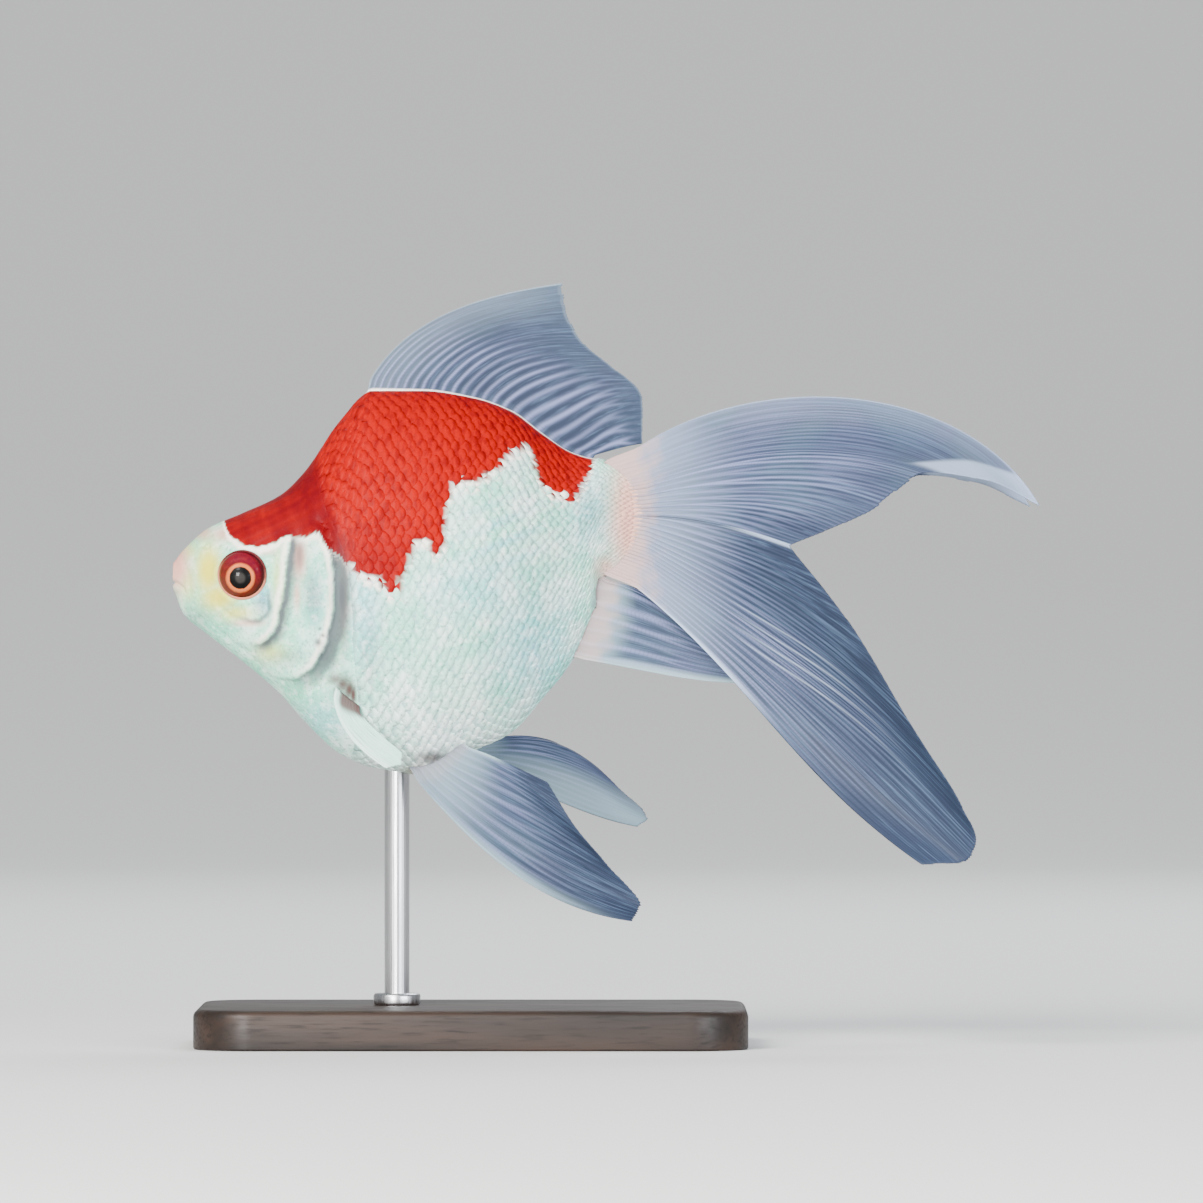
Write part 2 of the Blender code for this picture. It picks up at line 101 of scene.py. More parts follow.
# Lines on the head, as places (x, z) in the side view, each from its upper end to its lower end
GILL_EDGE = (
    (27.8, 12.4), (30.7, 9.3), (32.2, 4.4), (32.9, -0.2), (32.7, -6.0), (31.6, -10.9), (29.6, -15.6),
    (26.9, -18.6), (23.6, -19.9), (19.0, -19.0),
)
CHEEK_GROOVE = (
    (24.6, 9.4), (24.0, 6.3), (23.4, 0.5), (22.2, -6.0), (21.0, -10.2), (18.8, -12.5), (15.4, -13.8),
)
EYE_PLATE = ((18.8, 3.6), (19.6, -1.6), (20.1, -5.4), (17.6, -8.6), (13.2, -7.9), (10.0, -5.6), (8.0, -3.4))
MOUTH_LINE = ((-1.0, -0.4), (0.2, -0.5), (1.2, -0.9), (2.2, -1.7), (2.9, -2.8))
LIP_LINE = ((1.2, 5.2), (2.4, 3.4), (3.3, 1.2), (3.7, -1.4), (3.6, -3.6))
CHIN_LINE = ((5.6, -6.4), (10.0, -10.6), (16.0, -15.4), (22.0, -22.0))
NOSTRIL = (6.9, 6.9)
FIN_POCKET = (35.0, -21.4)
# Folds of the head's plates: the line, where along it the fold fades in and out, and the skin's height
# across it, at distances from the line
HEAD_FOLDS = (
    (
        GILL_EDGE, (0.0, 0.08), (1.0, 0.8),
        (-3.4, -1.6, -0.7, -0.2, 0.15, 0.45, 1.4, 2.8, 4.4),
        (0, 0.22, 0.5, 0.45, -0.1, -0.8, -0.7, -0.3, 0),
    ),
    (
        CHEEK_GROOVE, (0.0, 0.1), (1.0, 0.85),
        (-3.0, -1.8, -0.8, -0.3, 0.1, 0.5, 1.2, 2.2), (0, 0.16, 0.34, 0.1, -0.42, -0.4, -0.2, 0),
    ),
    (
        EYE_PLATE, (0.0, 0.15), (1.0, 0.85),
        (-0.9, -0.3, 0.1, 0.5, 1.4, 2.6), (0, -0.16, -0.04, 0.12, 0.07, 0),
    ),
)
# Painted shade along the same lines: how strong it is across the line, how far before the line its pale
# ridge, a painted highlight, is and how strong, and where along the line both fade in and out
HEAD_SHADES = (
    (CHEEK_GROOVE, (-0.4, 0.0, 0.5, 1.1, 2.4), (0, 0.75, 0.85, 0.45, 0), 1.0, 0.8, (0.0, 0.1), (1.0, 0.8)),
    (GILL_EDGE, (-0.2, 0.2, 1.0, 2.4, 3.8), (0, 0.8, 0.8, 0.7, 0), 0.7, 0.8, (0.02, 0.14), (0.95, 0.62)),
    (EYE_PLATE, (-0.9, -0.3, 0.3, 0.8), (0, 0.55, 0.2, 0), -0.6, 0.3, (0.1, 0.3), (0.75, 0.5)),
)
# Where scales begin, from the nape down behind the gill cover to the throat
SCALE_FRONT = (
    (28.4, 26.0), (29.8, 20.0), (31.2, 14.0), (33.6, 9.0), (35.4, 3.0), (36.4, -4.0), (36.6, -12.0),
    (37.4, -20.0), (37.8, -26.0), (37.0, -32.0), (35.0, -40.0),
)

# The red cap: its lower edge, station by station from the forehead back
RED_EDGE = (
    (9.8, 13.5), (11.6, 9.2), (14.6, 7.2), (17.6, 6.6), (20.6, 7.2), (23.6, 8.8), (26.6, 8.6), (29.4, 9.6),
    (31.4, 6.2), (33.8, 4.4), (35.6, 2.6), (38.6, 1.2), (41.6, 0.0), (43.6, -2.6), (45.6, -1.6),
    (47.6, 4.0), (49.6, 8.4), (51.2, 7.4), (53.0, 4.6), (54.4, 6.2), (55.4, 14.6), (57.0, 18.6),
    (59.6, 19.8), (62.6, 20.4), (65.6, 22.2), (67.6, 25.6), (71.4, 26.2), (73.4, 20.0), (75.6, 17.8),
    (77.6, 16.9), (80.6, 16.6), (82.0, 18.6), (83.8, 22.0), (85.0, 27.0),
)

# Soft patches of tint: the middle (x, z), how far each reaches along and up, and its strength
PINK_PATCHES = (
    (0.8, 3.0, 2.4, 4.4, 1.0), (6.0, 9.4, 2.6, 1.4, 0.5), (25.8, 4.6, 1.3, 4.0, 0.9),
    (34.6, -4.0, 0.8, 6.0, 0.5), (91.4, 12.6, 3.6, 12.0, 0.9), (87.0, 2.4, 2.6, 2.8, 0.5),
    (11.0, 9.2, 2.8, 1.5, 0.6), (18.8, 6.0, 2.2, 1.0, 0.55), (15.6, -8.6, 2.8, 0.6, 0.6),
    (50.0, -38.4, 3.0, 1.4, 0.4), (25.4, -3.0, 0.7, 3.0, 0.5),
)
YELLOW_PATCHES = (
    (7.6, 2.0, 2.4, 4.6, 0.9), (9.6, -3.4, 3.4, 2.6, 0.8), (13.0, -6.6, 3.4, 1.6, 0.5),
    (21.6, 0.0, 1.2, 6.0, 0.3), (20.0, -14.4, 3.0, 2.0, 0.35), (3.4, -0.4, 2.2, 3.6, 0.35),
    (3.6, 5.6, 2.2, 2.0, 0.3),
)
MINT_PATCHES = (
    (28.0, -3.0, 3.2, 8.6, 1.0), (17.0, -6.6, 2.6, 1.6, 0.9), (30.0, -26.0, 7.0, 5.0, 0.4),
    (13.0, -10.4, 5.0, 2.6, 0.5), (46.0, -12.0, 8.0, 8.0, 0.6), (60.0, -4.0, 9.0, 10.0, 0.5),
)
BLUE_PATCHES = (
    (73.0, -14.0, 8.0, 10.0, 0.45), (61.0, -2.0, 9.0, 6.0, 0.3), (18.6, -4.0, 1.7, 2.8, 0.7),
    (31.0, -28.0, 5.0, 4.0, 0.3), (39.0, -6.0, 3.0, 10.0, 0.4), (84.0, 14.0, 4.0, 8.0, 0.4),
    (29.0, -4.0, 2.0, 6.0, 0.25),
)
# The warm patches keep the lower belly clear of the green cast, at its whitest: partly its own white, partly
# painted light against the shade under the belly
WARM_PATCHES = ((53.0, -31.0, 13.0, 8.0, 1.0), (42.0, -36.0, 8.0, 5.0, 0.9))
# Grey patches are painted shade, most of all in the gill slit behind the gill cover
GREY_PATCHES = (
    (34.4, -3.0, 1.7, 10.0, 0.9), (32.0, -15.4, 1.6, 2.6, 0.7), (18.6, -4.4, 1.5, 2.4, 0.3),
    (25.8, 5.0, 1.0, 3.4, 0.45), (53.6, -35.6, 2.4, 1.5, 0.55), (29.6, -12.4, 0.7, 0.7, 0.7),
    (28.6, -3.0, 2.0, 5.4, 0.36), (5.2, -7.6, 3.0, 2.6, 0.2), (30.6, -11.0, 0.4, 0.4, 0.7),
    (30.0, -9.6, 0.3, 0.4, 0.6), (24.0, -15.2, 3.4, 1.4, 0.2), (84.0, 13.0, 3.0, 6.0, 0.2),
    (40.0, -14.0, 2.0, 8.0, 0.16),
)
RUST_PATCHES = (
    (33.2, -19.8, 1.7, 1.1, 0.6), (34.6, -20.8, 1.6, 1.6, 0.75), (35.8, -21.8, 1.1, 1.8, 0.9),
    (36.6, -22.8, 0.6, 1.8, 1.0), (51.4, -35.4, 2.4, 1.1, 0.5),
)


def ramp(value, low, high):
    """0 at low and 1 at high, eased at both ends. low may be the greater."""
    share = np.clip((value - low) / (high - low), 0.0, 1.0)
    return share * share * (3 - 2 * share)


def hill(value, middle, width):
    """A bell curve: 1 at the middle, and about a third at a width to either side of it."""
    return np.exp(-(((value - middle) / width) ** 2))


def smooth_curve(places, values):
    """A smooth curve through values at rising places, which never overshoots them. It takes arrays."""
    places, values = np.asarray(places, float), np.asarray(values, float)
    runs = np.diff(places)
    slopes = np.diff(values) / runs
    before, after = slopes[:-1], slopes[1:]
    same_way = before * after > 0
    middle = np.where(same_way, 2 * before * after / np.where(same_way, before + after, 1.0), 0.0)
    tangents = np.concatenate(([slopes[0]], middle, [slopes[-1]]))

    def value(place):
        place = np.clip(place, places[0], places[-1])
        i = np.clip(np.searchsorted(places, place, side="right") - 1, 0, len(runs) - 1)
        u = (place - places[i]) / runs[i]
        start, end = values[i], values[i + 1]
        leave, arrive = tangents[i] * runs[i], tangents[i + 1] * runs[i]
        rise = end - start
        bend, twist = 3 * rise - 2 * leave - arrive, leave + arrive - 2 * rise
        return start + u * leave + u**2 * bend + u**3 * twist

    return value


def columns(rows, places):
    """One smooth curve for each column of a table."""
    return [smooth_curve(places, column) for column in zip(*rows)]


BODY_CURVES = columns([row[1:] for row in BODY], [row[0] for row in BODY])
RED_EDGE_CURVE = smooth_curve(*zip(*RED_EDGE))


def tail_bow(z):
    """How far in front of its middle the tail's root is at a height."""
    return TAIL_ROOT_BOW * ((z - TAIL_ROOT_FORK) / (TAIL_ROOT_TOP - TAIL_ROOT_FORK)) ** 2


def body_place(x, angle, shrink=1.0):
    """The body's surface at a station, at an angle round it from the widest level on the left."""
    back, belly, half_width, level, above, below = [curve(x) for curve in BODY_CURVES]
    half_width = half_width - TAIL_TAPER * np.clip(x - BODY_LENGTH, 0.0, None)
    across, along = np.cos(angle), np.sin(angle)
    height = np.where(along > 0, back - level, level - belly)
    square = np.where(along > 0, above, below)
    y = -np.sign(across) * np.abs(across) ** (2 / square) * half_width * shrink
    z = level + np.sign(along) * np.abs(along) ** (2 / square) * height * shrink
    end = np.clip(1 - (BODY_LENGTH - x) / 8, 0.0, None)
    return np.stack([x - end * tail_bow(z), y, z], axis=-1)


def body_normal(x, angle):
    """The direction straight out of the body's surface."""
    step = 0.02
    along = body_place(x + step, angle) - body_place(x - step, angle)
    around = body_place(x, angle + step) - body_place(x, angle - step)
    normal = np.cross(along, around)
    normal /= np.linalg.norm(normal, axis=-1, keepdims=True) + 1e-12
    middle = np.stack([x, np.zeros_like(x), BODY_CURVES[3](x)], axis=-1)
    outwards = np.sum(normal * (body_place(x, angle) - middle), axis=-1, keepdims=True)
    return normal * np.where(outwards < 0, -1.0, 1.0)


def body_side(x, z):
    """Half the width of the body at a station and a height."""
    back, belly, half_width, level, above, below = [curve(x) for curve in BODY_CURVES]
    height = np.where(z > level, back - level, level - belly)
    square = np.where(z > level, above, below)
    return half_width * np.clip(1 - np.abs((z - level) / height) ** square, 0.0, 1.0) ** (1 / square)


def beside(path, x, z):
    """How far each place is from a path in the side view, and how far along the path, from 0 to 1.

    The distance is positive behind a path that runs down, and above one that runs back.
    """
    share = np.linspace(0, len(path) - 1, 4 * len(path) + 1)
    line = np.stack([curve(share) for curve in columns(path, range(len(path)))], axis=-1)
    nearest = np.full(np.shape(x), 1e9)
    signed, where = np.zeros(np.shape(x)), np.zeros(np.shape(x))
    for i, (start, end) in enumerate(zip(line, line[1:])):
        run = end - start
        length = math.hypot(*run)
        px, pz = x - start[0], z - start[1]
        along = np.clip((px * run[0] + pz * run[1]) / length**2, 0, 1)
        distance = np.hypot(px - along * run[0], pz - along * run[1])
        closer = distance < nearest
        turn = np.where(run[0] * pz - run[1] * px < 0, -1.0, 1.0)
        nearest = np.where(closer, distance, nearest)
        signed = np.where(closer, distance * turn, signed)
        where = np.where(closer, (i + along) / (len(line) - 1), where)
    return signed, where


def patches(table, x, z):
    """The strongest of several soft patches at each place."""
    found = np.zeros(np.shape(x))
    for middle_x, middle_z, reach_x, reach_z, strength in table:
        found = np.maximum(found, strength * hill(x, middle_x, reach_x) * hill(z, middle_z, reach_z))
    return found


def raised(share):
    """A tint's share, raised so that a weak tint still shows on skin that is nearly white."""
    return 1 - (1 - np.clip(share, 0.0, 1.0)) ** 2


def ripple(x, y, z, size, seed=0.0):
    """A cheap smooth noise between about -1 and 1, with waves about `size` millimetres long."""
    k = 2 * math.pi / size
    return (
        np.sin(k * (x + 0.37 * z) + seed)
        + np.sin(k * 1.31 * (z - 0.45 * x + 0.3 * y) + 2.1 * seed + 1.0)
        + np.sin(k * 0.83 * (y + 0.8 * x - 0.2 * z) + 3.7 * seed + 2.0)
    ) / 3


# ------------------------------------------------------------------------------
# Settings
# ------------------------------------------------------------------------------
def linear(hex_colour):
    """The linear colour of an sRGB hex value."""
    parts = [int(hex_colour[i : i + 2], 16) / 255 for i in (1, 3, 5)]
    return tuple(p / 12.92 if p <= 0.04045 else ((p + 0.055) / 1.055) ** 2.4 for p in parts)


def colour(name, hex_colour, description):
    kind = {"subtype": "COLOR", "size": 3, "min": 0, "max": 1}
    return FloatVectorProperty(name=name, description=description, default=linear(hex_colour), **kind)


def length(name, millimetres, description):
    kind = {"subtype": "DISTANCE", "unit": "LENGTH", "min": 0}
    return FloatProperty(name=name, description=description, default=millimetres * MM, **kind)


class GOLDFISH_PG_skin(bpy.types.PropertyGroup):
    white: colour("White", "#EFFCF6", "Pearly white of the belly and the cheeks")
    mint: colour("Mint", "#7CD6B2", "Green cast of the white on the head and the flank")
    blue: colour("Blue", "#74C4D6", "Blue cast of the white on the rear belly")
    warm: colour("Warm", "#FFFFFA", "Warm white of the lower belly")
    # Cream is also painted highlight: the line along the dorsal fin's root, and the pale ridges before the
    # head's grooves
    cream: colour("Cream", "#FFF4E6", "Rim round the red cap, and the line along the dorsal fin")
    yellow: colour("Yellow", "#D2C640", "Yellow cast in front of the eye")
    pink: colour("Pink", "#D0998A", "Flesh that shows through, at the snout and the tail's root")
    grey: colour("Grey", "#4B5154", "Shade in the gill slit and the grooves")
    rust: colour("Rust", "#523C3A", "Brown pink at the pectoral fin's root")
    red: colour("Red", "#980400", "Vermilion of the red cap")
    crimson: colour("Crimson", "#62050F", "Deeper red of the head and the nape")
    coat_depth: length("Coat depth", 0.4, "How far the skin lies under the tips of the scales")


class GOLDFISH_PG_scales(bpy.types.PropertyGroup):
    rows: IntProperty(name="Rows", description="Rows of scales right round the body", default=52, min=8)
    pitch: length("Pitch", 1.08, "From one column of scales to the next, where the body is deepest")
    tail_pitch: length("Tail pitch", 0.86, "From one column of scales to the next at the tail")
    thickness: length("Thickness", 0.09, "Thickness of one scale")


class GOLDFISH_PG_fins(bpy.types.PropertyGroup):
    membrane: colour("Membrane", "#313D4F", "Slate blue skin between the rays")
    green: colour("Green", "#394A5A", "Where the skin is greener and paler")
    lilac: colour("Lilac", "#3B4158", "Where the skin is more lilac")
    shade: colour("Shade", "#222A3A", "Deeper blue near the roots of the rays and at the fork")
    streak: colour("Streak", "#536985", "Fine fibres that run along the rays")
    ray: colour("Ray", "#6E7599", "Pale lilac of the rays")
    # On the folds the pale tint is painted highlight
    pale: colour("Pale", "#9CABC4", "Leading edges and folds")
    root: colour("Root", "#BA978A", "Pink flesh at the roots of the tail")
    clear: colour("Clear", "#A9DCCB", "The thin pectoral fins, which show the body's white")
    edge: length("Edge", 0.42, "Thickness of the membrane at the fin's edge")
    base: length("Base", 1.5, "Thickness at the fin's root")


class GOLDFISH_PG_eyes(bpy.types.PropertyGroup):
    crimson: colour("Crimson", "#560A1C", "Outer ring of the eye")
    brown: colour("Brown", "#4E2210", "Lower and front part of the outer ring")
    gold: colour("Gold", "#B65C2E", "Bright ring round the pupil")
    pupil: colour("Pupil", "#020202", "The pupil")
    # The grey of the lens in the middle of the pupil is a painted reflection
    lens: colour("Lens", "#262422", "The cloudy lens in the middle of the pupil")
    rim: colour("Rim", "#4A0E12", "Fold of skin round the eye")


class GOLDFISH_PG_stand(bpy.types.PropertyGroup):
    wood: colour("Wood", "#2E211A", "Dark stained hardwood of the base")
    grain: colour("Grain", "#17100C", "Darker late wood in its grain")
    steel: colour("Steel", "#B8B8BA", "Satin steel of the rod")


class GOLDFISH_PG_stage(bpy.types.PropertyGroup):
    floor: colour("Floor", "#D6D6D4", "Plain pale floor and backdrop")
    distance: length("Distance", 2400.0, "From the camera to the middle of the fish")
    width: length("Width", 240.6, "Width of the picture at the middle of the fish")


# ------------------------------------------------------------------------------
# Making pieces and materials
# ------------------------------------------------------------------------------
def node(tree, kind, inputs=None, **settings):
    """Adds a node with its settings. An input is given a number, a colour or the output of another node."""
    made = tree.nodes.new(kind)
    for name, value in settings.items():
        setattr(made, name, value)
    for key, value in (inputs or {}).items():
        if isinstance(value, bpy.types.NodeSocket):
            tree.links.new(value, made.inputs[key])
        elif made.inputs[key].type == "RGBA":
            made.inputs[key].default_value = (*value[:3], 1.0)
        else:
            made.inputs[key].default_value = value
    return made


def material(name, **shader_values):
    """A material with one shader, whose constant values are set on its own sockets."""
    made = bpy.data.materials.new(name)
    made.use_nodes = True
    tree = made.node_tree
    tree.nodes.clear()
    inputs = {key.replace("_", " "): value for key, value in shader_values.items()}
    shader = node(tree, "ShaderNodeBsdfPrincipled", inputs)
    node(tree, "ShaderNodeOutputMaterial", {"Surface": shader.outputs[0]})
    return made, tree, shader


def layered(tree, base, layers):
    """A colour with tints laid over it in turn. A layer is what shows it, over which span, and its tint.

    A span is the value at which the tint starts to show, the one at which it shows most, and its share
    there. Without a span, what shows the tint is its share.
    """
    for shown_by, span, tint in layers:
        if span:
            reach = {0: shown_by, 1: span[0], 2: span[1], 3: 0.0, 4: span[2]}
            shown_by = node(tree, "ShaderNodeMapRange", reach).outputs[0]
        base = node(tree, "ShaderNodeMix", {0: shown_by, 6: base, 7: tint}, data_type="RGBA").outputs[2]
    return base


def to_packed(points):
    """From the fish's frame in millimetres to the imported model's in metres."""
    return (np.asarray(points) + (SNOUT_X, 0.0, MOUTH_Z)) * MM


def set_attribute(mesh, name, values, kind="FLOAT_COLOR"):
    """Gives a mesh's vertices values that materials read."""
    key = "value" if kind == "FLOAT" else "color"
    layer = mesh.attributes.new(name, kind, "POINT")
    layer.data.foreach_set(key, np.ascontiguousarray(values, np.float32).ravel())


def coordinates(mesh):
    """The places of a mesh's vertices, one row for each."""
    found = np.empty(len(mesh.vertices) * 3, np.float32)
    mesh.vertices.foreach_get("co", found)
    return found.reshape(-1, 3).astype(float)


def set_coordinates(mesh, points):
    """Moves a mesh's vertices to the points."""
    mesh.vertices.foreach_set("co", np.ascontiguousarray(points, np.float32).ravel())
    mesh.update()


def mesh_of(name, bm):
    """A mesh from what bmesh has made, which is freed."""
    mesh = bpy.data.meshes.new(name)
    bm.to_mesh(mesh)
    bm.free()
    return mesh


def turned_out(mesh):
    """Turns every face of a closed mesh outwards."""
    bm = bmesh.new()
    bm.from_mesh(mesh)
    bmesh.ops.remove_doubles(bm, verts=bm.verts, dist=1e-7)
    bmesh.ops.recalc_face_normals(bm, faces=bm.faces)
    bm.to_mesh(mesh)
    bm.free()


def piece(name, mesh, shade, nodes=()):
    """Puts a finished mesh in the scene, on the fish's one body."""
    made = bpy.data.objects.new(name, mesh)
    bpy.context.scene.collection.objects.link(made)
    mesh.materials.clear()
    mesh.materials.append(shade)
    mesh.shade_smooth()
    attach(made, "root")
    if nodes:
        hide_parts(*nodes)
    return made


def applied(mesh, kind, settings, weights=None):
    """A mesh with a modifier applied. Weights are each vertex's share of what the modifier does."""
    carrier = bpy.data.objects.new("carrier", mesh)
    bpy.context.scene.collection.objects.link(carrier)
    modifier = carrier.modifiers.new(kind.lower(), kind)
    for key, value in settings.items():
        setattr(modifier, key, value)
    if weights is not None:
        group = carrier.vertex_groups.new(name="weights")
        for index, weight in enumerate(weights):
            group.add([index], float(weight), "REPLACE")
        modifier.vertex_group = group.name
    bpy.context.view_layer.update()
    evaluated = carrier.evaluated_get(bpy.context.evaluated_depsgraph_get())
    made = bpy.data.meshes.new_from_object(evaluated)
    bpy.data.objects.remove(carrier)
    return made


# ------------------------------------------------------------------------------
# The skin
# ------------------------------------------------------------------------------
SKIN_SIDES = 300
SNOUT_RINGS, HEAD_RINGS, TRUNK_RINGS, END_RINGS = 8, 150, 104, 4
HEAD_END = 39.0
SKIN_RINGS = SNOUT_RINGS + HEAD_RINGS + TRUNK_RINGS + END_RINGS
RING_X = np.concatenate(
    (
        np.zeros(SNOUT_RINGS),
        np.linspace(0.0, HEAD_END, HEAD_RINGS, endpoint=False),
        np.linspace(HEAD_END, BODY_LENGTH, TRUNK_RINGS, endpoint=False),
        np.full(END_RINGS + 1, BODY_LENGTH),
    )
)
RING_SHRINK = np.concatenate(
    (
        np.linspace(0, 1, SNOUT_RINGS, endpoint=False),
        np.ones(HEAD_RINGS + TRUNK_RINGS),
        np.linspace(1, 0, END_RINGS + 1),
    )
)


def unwrapped(ring, angle):
    """Where a place on the skin is on its flat pattern, which is slit along the belly."""
    turn = np.mod(0.25 + angle / (2 * math.pi), 1.0)
    return 0.01 + 0.98 * turn, 0.01 + 0.98 * ring / SKIN_RINGS


def on_scales(x, z):
    """1 where scales cover the skin, 0 on the bare head, from the line where the scales begin."""
    distance, _ = beside(SCALE_FRONT, x, z)
    return ramp(distance, -0.6, 0.6)


def head_relief(x, y, z):
    """How far the bare skin of the head stands out, in millimetres: plates, folds, lips and nostrils."""
    relief = np.zeros_like(x)
    sideways = ramp(np.abs(y), 3.0, 6.0)
    for path, start, end, reaches, heights in HEAD_FOLDS:
        distance, along = beside_line(path, x, y, z)
        ends = ramp(along, *start) * ramp(along, *end)
        relief += sideways * ends * np.interp(distance, reaches, heights)
    distance, along = beside(MOUTH_LINE, x, z)
    relief += ramp(along, 1.0, 0.7) * np.interp(
        np.abs(distance), (0.0, 0.14, 0.34, 0.8, 1.4, 2.2), (-0.6, -0.45, -0.08, 0.06, 0.04, 0)
    )
    distance, along = beside(LIP_LINE, x, z)
    ends = ramp(along, 0.0, 0.12) * ramp(along, 1.0, 0.9)
    relief += ends * np.interp(distance, (-1.2, -0.5, 0.0, 0.5, 1.1), (0, 0.04, -0.16, -0.06, 0))
    distance, along = beside(CHIN_LINE, x, z)
    ends = ramp(along, 0.0, 0.2) * ramp(along, 1.0, 0.8)
    relief += sideways * ends * np.interp(np.abs(distance), (0.0, 0.3, 0.9), (-0.22, -0.14, 0))
    # A nostril is a pit with a raised edge and a small flap that stands in it
    pit = np.hypot(x - NOSTRIL[0], (z - NOSTRIL[1]) / 0.75)
    flap = np.hypot(x - NOSTRIL[0] - 0.1, z - NOSTRIL[1]) / 0.42
    edge = 0.12 * np.exp(-((pit - 1.5) ** 2) / 0.1)
    relief += sideways * (edge - 0.55 * ramp(pit, 1.1, 0.5) + 0.7 * ramp(flap, 1.2, 0.3))
    pocket = np.hypot((x - FIN_POCKET[0]) / 1.6, (z - FIN_POCKET[1]) / 2.8)
    relief += -0.55 * ramp(pocket, 1.2, 0.3) * sideways
    lumps = 0.07 * ripple(x, y, z, 2.6, 2.0) + 0.04 * ripple(x, y, z, 1.3, 8.0)
    return relief + lumps * sideways * ramp(x, 4.0, 9.0)


def beside_line(path, x, y, z):
    """How far each place is from a line on the head, with a slightly uneven course, and how far along it."""
    distance, along = beside(path, x, z)
    return distance + 0.24 * ripple(x, y, z, 4.3, 4.0) + 0.14 * ripple(x, y, z, 1.7, 6.0), along


def eye_place(side):
    """The middle and the half sizes of an eye, from its solid, in the fish's frame."""
    low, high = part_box(f"eye_{side}")
    middle, half = (low + high) / 2 / MM, (high - low) / 2 / MM
    return np.array((middle.x - SNOUT_X, middle.y, middle.z - MOUTH_Z)), np.array(half)


def socket_relief(x, y, z):
    """How far the skin sinks in at the eye sockets, and stands out round them."""
    middle, half = eye_place("left")
    distance = np.hypot(x - middle[0], z - middle[2]) - half[0]
    bowl = -2.6 * ramp(distance, 0.25, -0.5)
    rim = 0.26 * hill(distance, 0.9, 0.7) * ramp(distance, 0.1, 0.5)
    return (bowl + rim) * ramp(np.abs(y), 4.0, 6.0)


def cap_markings(x, y, z, jitter):
    """The red cap at places on the fish: its red, how far that is deepened to crimson and darkened by a
    painted shadow behind the gill covers, and its cream rim and a painted highlight along the dorsal fin's
    root.
    """
    right = y > 0  # where the cap has an edge of its own
    along = np.where(right, x + 1.6 * np.sin(0.31 * x), x)
    edge = RED_EDGE_CURVE(along) + np.where(right, 1.8 * np.sin(0.23 * x + 1.0), 0.0) * ramp(x, 30, 40)
    wobble = 0.3 * ripple(x, y, z, 5.0, 1.0) + 0.25 * ripple(x, y, z, 2.1, 2.0)
    above = z - edge - jitter - wobble  # millimetres above the cap's lower edge
    # The skin along the dorsal fin's root is cream, a painted highlight, and the cap ends over the snout and
    # before the tail
    crown = ramp(np.abs(y), 1.3, 0.9) * ramp(x, 37.5, 39.0) * ramp(x, 85.5, 84.0) * (z > BACK_LEVEL)
    limit = ramp(x, 9.6, 10.6) * ramp(x, 85.4, 84.8)
    red = ramp(above, -0.12, 0.12) * limit * (1 - crown)
    rim = hill(above, -0.6, 0.75) * limit
    cream = np.maximum(rim * (1 - red), crown)
    # The bare head is a deeper red as far back as a dark line behind the gill covers, a painted shadow that
    # they cast on the red
    border = x + 0.3 * z - NAPE_LINE + 0.4 * ripple(x, y, z, 3.0, 2.0)
    cloud = 0.25 * ripple(x, y, z, 7.0, 3.0) + 0.2 * ripple(x, y, z, 2.9, 5.0)
    bare = ramp(border, 0.5, -0.5) * (0.62 + 0.3 * ramp(x, 18.0, 25.0) + cloud)
    # Painted shadow of the gill covers along that line
    line = 0.95 * hill(border, 0.0, 0.55) * ramp(z, 20.0, 12.0)
    # The cap is deeper low on its front, and along the very edge
    low = 0.4 * ramp(z, 16.0, 1.0) * ramp(x, 56, 40)
    hem = hill(above, 0.35, 0.45) * ramp(x, 30, 36) * (0.7 + 0.6 * ripple(x, y, z, 4.0, 9.0))
    deep = np.maximum.reduce([bare, line, low, hem]) + 0.1 * ripple(x, y, z, 9.0, 3.0)
    return red, np.clip(deep, 0, 1), cream


def markings(x, y, z, jitter=0.0):
    """Shares of every tint at places on the fish, for skin and scales alike: two tables of four, and rust.

    A jitter moves the edge of the red cap up at each place.
    """
    red, deep, cream = cap_markings(x, y, z, jitter)
    pink = patches(PINK_PATCHES, x, z)
    mint = 0.4 + 0.35 * ripple(x, y, z, 13.0, 5.0) + 0.15 * ripple(x, y, z, 3.4, 7.0)
    mint = mint + 0.3 * ramp(x, 40, 22)
    mint = np.maximum(np.clip(mint, 0, 1), patches(MINT_PATCHES, x, z))
    # The lower belly is kept at its whitest, partly painted light against the shade under it
    mint = mint * (1 - patches(WARM_PATCHES, x, z))
    grey = patches(GREY_PATCHES, x, z)
    # Painted shade along the head's grooves and plate edges, with a painted highlight on the pale ridge
    # before each
    for path, reaches, strengths, ahead, pale, start, end in HEAD_SHADES:
        distance, where = beside_line(path, x, y, z)
        shown = ramp(where, *start) * ramp(where, *end) * (1 - red)
        grey = np.maximum(grey, np.interp(distance, reaches, strengths) * shown)
        cream = np.maximum(cream, pale * hill(distance, -ahead, 0.55) * shown)
    grey = grey * (1 - 0.75 * red)
    rust = patches(RUST_PATCHES, x, z)
    # Faint slanting bands where the muscle shows on the rear flank
    bands = 0.5 + 0.5 * np.sin(2 * math.pi * (z - 0.42 * (x - 62.0)) / 4.4)
    flank = hill(x, 66.0, 7.0) * hill(z, 9.0, 6.5)
    blue = np.clip(patches(BLUE_PATCHES, x, z) + 0.5 * bands**3 * flank, 0, 1)
    first = np.stack([red, deep, cream, raised(pink)], axis=-1)
    yellow = patches(YELLOW_PATCHES, x, z)
    second = np.stack([raised(tint) for tint in (yellow, mint, blue, grey)], axis=-1)
    return first, second, raised(rust)


